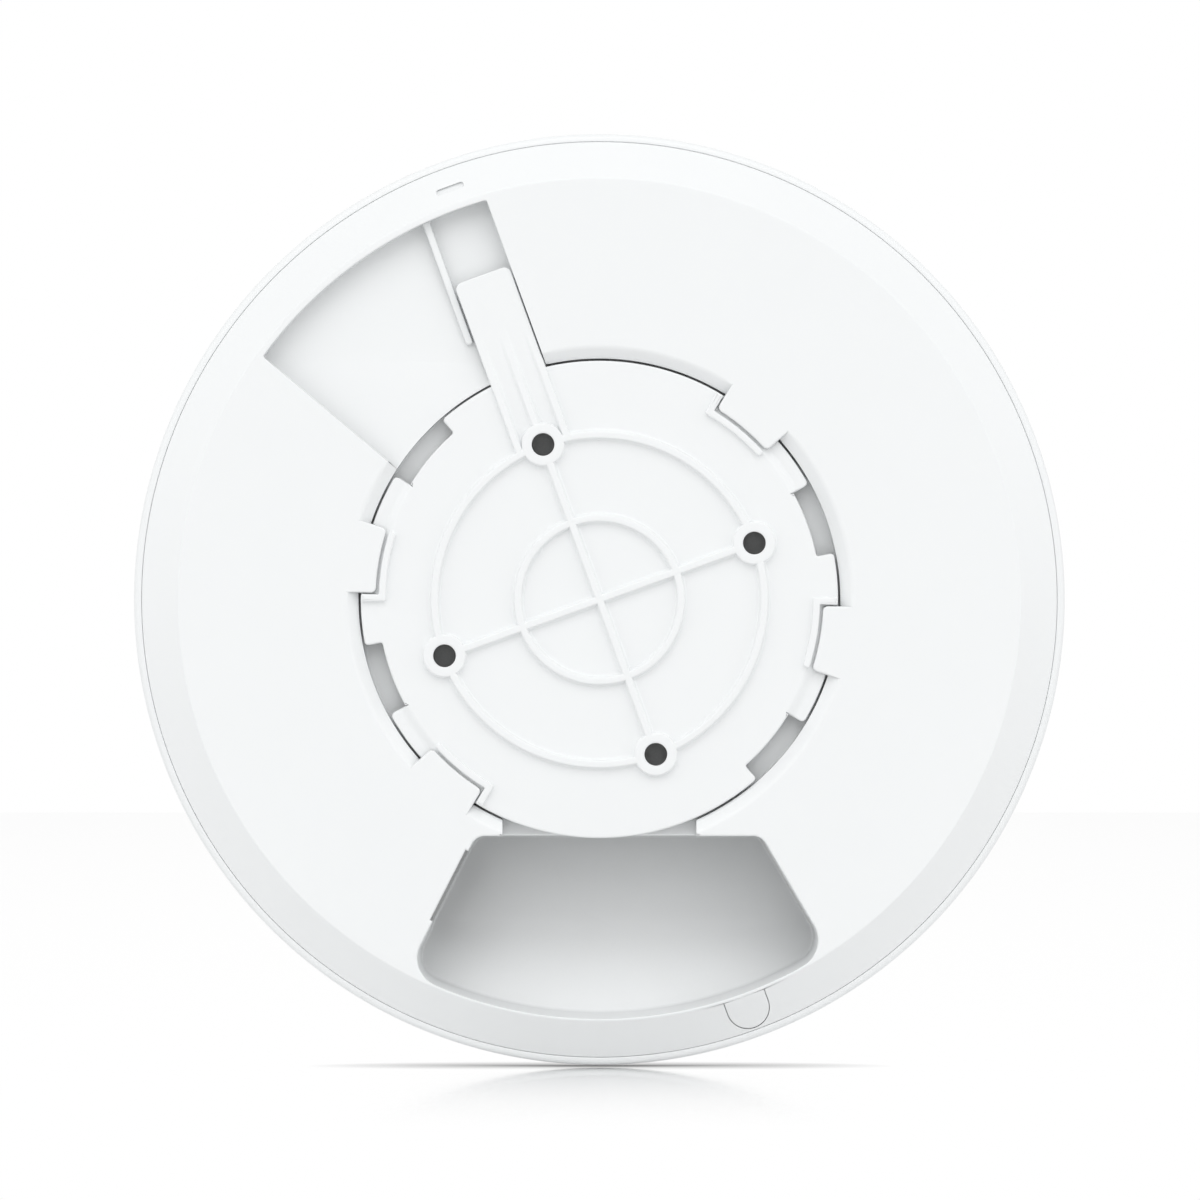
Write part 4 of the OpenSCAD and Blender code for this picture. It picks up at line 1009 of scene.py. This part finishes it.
foot_r, foot_q, collar_r = 4.0, 0.3, 4.2
t = np.linspace(0, pi / 2, 5)
boss_foot = [foot_r - foot_q * np.sin(t), rib_low + foot_q * (1 - np.cos(t))]
boss = rounded(
    [
        [screw_r, plate_low, 0],
        [sleeve_r, plate_low, 0],
        [sleeve_r, -2, 0],
        [collar_r, -2, 0],
        [collar_r, rib_low, 0],
        sharp(np.column_stack(boss_foot)),
        [3.65, 0, 0.28],
        [screw_r, 0, 0.2],
    ]
)
boss_points, boss_faces = turned(np.concatenate([boss, boss[:1]]), 64)
for k in range(4):
    way = arm_dir + 90 * k
    a, b = way + 5.6, way + 84.4
    ring_line = rounded([corner(big_ring_in, a), corner(big_ring_out, a),
                         curve(big_ring_out, a + 1, b - 1), corner(big_ring_out, b),
                         corner(big_ring_in, b), curve(big_ring_in, b - 1, a + 1)])
    bracket += slab(ring_line, bracket_rib(0.004))
    if k < 2:
        end = hole_r - 2.9
        bar = rounded([[-end, -rib_half, 0], [end, -rib_half, 0], [end, rib_half, 0],
                       [-end, rib_half, 0]])
        bracket += slab(turned_to(bar, way), bracket_rib(0.004 + 0.004 * k))
    bracket.append((boss_points + [*polar(hole_r, way), 0], boss_faces))
half_ring = bracket_rib(0.012)
outside = np.column_stack([small_ring_out - half_ring[:, 0], half_ring[:, 1]])
inside = np.column_stack([small_ring_in + half_ring[:, 0], half_ring[:, 1]])[::-1]
bracket.append(turned(np.concatenate([outside, inside, outside[:1]]), 192))
piece("mounting_bracket_disc", bracket, bracket_white, "bracket", ["mounting_bracket"])

# ---------------------------------------------------------------------------- latch arm
# A springy tongue of the same moulding, which flexes where it leaves the disc but is drawn here
# unbent. Three ribs fall from the boss to its face while the valleys between them rise.

arm_w = 5.0
arm_reach = 59.2
arm_face = -0.7
arm_low = -2.1
tip_r = 1.3
side_rib = 4.3
fall_start, ridge_fall, valley_rise = 27.6, 21.9, 19.5
across = np.linspace(1, -1, 81)[None, :]
begin = hole_r + np.sqrt(np.clip(3.3**2 - (arm_w * across) ** 2, 0, None))
share = np.linspace(0, 1, 70)[:, None]
last = arm_reach - tip_r * (1 - np.sin(np.linspace(0, pi / 2, 9)[1:]))[:, None]
out = np.concatenate([begin + share * (arm_reach - tip_r - begin), last + 0 * across])
tip = np.clip((out - (arm_reach - tip_r)) / tip_r, 0, 1)
width = arm_w - tip_r * (1 - np.sqrt(1 - tip**2 + 1e-9))
side = width * across
ridge = np.clip(arm_face * (out - fall_start) / ridge_fall, arm_face, 0)
valley = np.clip(plate_z + 0.5 * (out - fall_start) / valley_rise, None, arm_face)


def near_rib(side):
    """1 on the three ribs and 0 between them, with a smooth change over half a millimetre."""
    distance = np.minimum(np.abs(side), np.abs(np.abs(side) - side_rib))
    return smooth(np.clip((1.0 - distance) / 0.55, 0, 1))


face = valley + (ridge - valley) * near_rib(side)
q = 0.22
inwards = np.clip(q - (width - np.abs(side)), 0, q)
face = face - (q - np.sqrt(q**2 - inwards**2))
tip_in = np.clip(q - (arm_reach - out), 0, q)
face = face - (q - np.sqrt(q**2 - tip_in**2))
low = np.where(out < 42, plate_low + 0.05, arm_low)
top_points = np.stack([out, side, face], axis=-1)
low_points = np.stack([out, side, low], axis=-1)[:, ::-1]
loop = np.concatenate([top_points, low_points], axis=1)
ends = [np.tile(point, (loop.shape[1], 1)) for point in ([hole_r + 2.9, 0, -2],
                                                        loop[-1].mean(axis=0))]
loop = np.concatenate([[ends[0]], loop, [ends[1]]])
points, faces = woven(loop)
arm_points = np.column_stack([turned_to(points[:, :2], arm_dir), points[:, 2]])
bend = stand(np.array([[*polar(40, arm_dir), -2], [*polar(44, arm_dir), -2]]))
piece("latch_arm_tongue", [(arm_points, faces)], bracket_white, ("bracket", "latch", *bend),
      ["latch_arm"])

# ---------------------------------------------------------------------------- stage
# A pale studio: a glossy white floor with a painted contact shadow, an even white surround, three
# large soft lamps round the camera, and one beyond the object that lights its front.

floor_z = -0.0803
floor_mesh = bpy.data.meshes.new("floor")
floor_mesh.from_pydata([(-3, -3, floor_z), (3, -3, floor_z), (3, 3, floor_z), (-3, 3, floor_z)], [],
                       [(0, 1, 2, 3)])
floor = bpy.data.objects.new("floor", floor_mesh)
bpy.context.scene.collection.objects.link(floor)
floor_white_painted_shadow = bpy.data.materials.new("floor_white_painted_shadow")
floor_white_painted_shadow.use_nodes = True
nodes, links = floor_white_painted_shadow.node_tree.nodes, floor_white_painted_shadow.node_tree.links
nodes.clear()
output = added(nodes, "OutputMaterial")

# The camera sees pure white with a painted shadow: darker where the object is within 15 mm
shade = added(nodes, "AmbientOcclusion", {"Distance": 0.015}, samples=16)
painted_contact_shadow = added(nodes, "Math", {1: 0.5}, operation="POWER")
white = added(nodes, "Emission")
links.new(shade.outputs["AO"], painted_contact_shadow.inputs[0])
links.new(painted_contact_shadow.outputs["Value"], white.inputs["Strength"])

# The floor mirrors the object, less so towards the camera and where it is seen from above, and its
# reflection is darkened by the same painted shadow
mirror = added(nodes, "BsdfGlossy", {"Roughness": 0.06})
place = added(nodes, "TexCoord")
split = added(nodes, "SeparateXYZ")
fade = added(nodes, "MapRange", {"From Min": -0.3, "From Max": 0, "To Max": 1.15})
squared = added(nodes, "Math", {1: 2}, operation="POWER")
glancing = added(nodes, "Fresnel", {"IOR": 1.5})
sheen = added(nodes, "Math", operation="MULTIPLY")
blend = added(nodes, "MixShader")
links.new(painted_contact_shadow.outputs["Value"], mirror.inputs["Color"])
links.new(place.outputs["Object"], split.inputs["Vector"])
links.new(split.outputs["Y"], fade.inputs["Value"])
links.new(fade.outputs["Result"], squared.inputs[0])
links.new(squared.outputs["Value"], sheen.inputs[0])
links.new(glancing.outputs["Fac"], sheen.inputs[1])
links.new(sheen.outputs["Value"], blend.inputs["Fac"])
links.new(white.outputs["Emission"], blend.inputs[1])
links.new(mirror.outputs["BSDF"], blend.inputs[2])

# All other rays meet a plain pale floor
path = added(nodes, "LightPath")
seen = added(nodes, "MixShader")
plain = added(nodes, "BsdfDiffuse", {"Color": (0.85, 0.85, 0.85, 1)})
links.new(path.outputs["Is Camera Ray"], seen.inputs["Fac"])
links.new(plain.outputs["BSDF"], seen.inputs[1])
links.new(blend.outputs["Shader"], seen.inputs[2])
links.new(seen.outputs["Shader"], output.inputs["Surface"])
floor_mesh.materials.append(floor_white_painted_shadow)

# The surround is pure white to the camera and in reflections, and lights the object at 0.72
world = bpy.data.worlds.new("studio")
bpy.context.scene.world = world
world.use_nodes = True
nodes, links = world.node_tree.nodes, world.node_tree.links
surround = nodes["Background"]
surround.inputs["Color"].default_value = (1, 1, 1, 1)
path = added(nodes, "LightPath")
either = added(nodes, "Math", operation="MAXIMUM")
any_of_three = added(nodes, "Math", operation="MAXIMUM")
strength = added(nodes, "Mix", {"A": 0.72, "B": 1})
links.new(path.outputs["Is Camera Ray"], either.inputs[0])
links.new(path.outputs["Is Glossy Ray"], either.inputs[1])
links.new(either.outputs["Value"], any_of_three.inputs[0])
links.new(path.outputs["Is Transmission Ray"], any_of_three.inputs[1])
links.new(any_of_three.outputs["Value"], strength.inputs["Factor"])
links.new(strength.outputs["Result"], surround.inputs["Strength"])

# Strength of each lamp, its degrees above the level and to the right of the camera, and whether
# it shows in reflections
lamps = [(0.4, 15, -60, True), (0.4, 15, 60, True), (0.76, 45, 0, True), (0.6, 20, 180, False)]
for number, (energy, above, right, mirrored) in enumerate(lamps):
    lamp = bpy.data.lights.new(f"lamp_{number}", "SUN")
    lamp.energy = energy
    lamp.angle = radians(50)
    lamp_object = bpy.data.objects.new(f"lamp_{number}", lamp)
    up, turn = radians(above), radians(right)
    toward = Vector((sin(turn) * cos(up), -cos(turn) * cos(up), sin(up)))
    lamp_object.rotation_euler = toward.to_track_quat("Z", "Y").to_euler()
    lamp_object.visible_glossy = mirrored
    bpy.context.scene.collection.objects.link(lamp_object)

# A long lens at the height of the object's middle, which takes in 205.8 mm
distance = 2.5
camera = bpy.data.cameras.new("camera")
camera.sensor_width = 36
camera.lens = camera.sensor_width * distance / 0.2058
camera_object = bpy.data.objects.new("camera", camera)
camera_object.location = (0.0001, -distance, -0.0001)
camera_object.rotation_euler = (radians(90), 0, 0)
bpy.context.scene.collection.objects.link(camera_object)
bpy.context.scene.camera = camera_object
bpy.context.scene.view_settings.view_transform = "Standard"
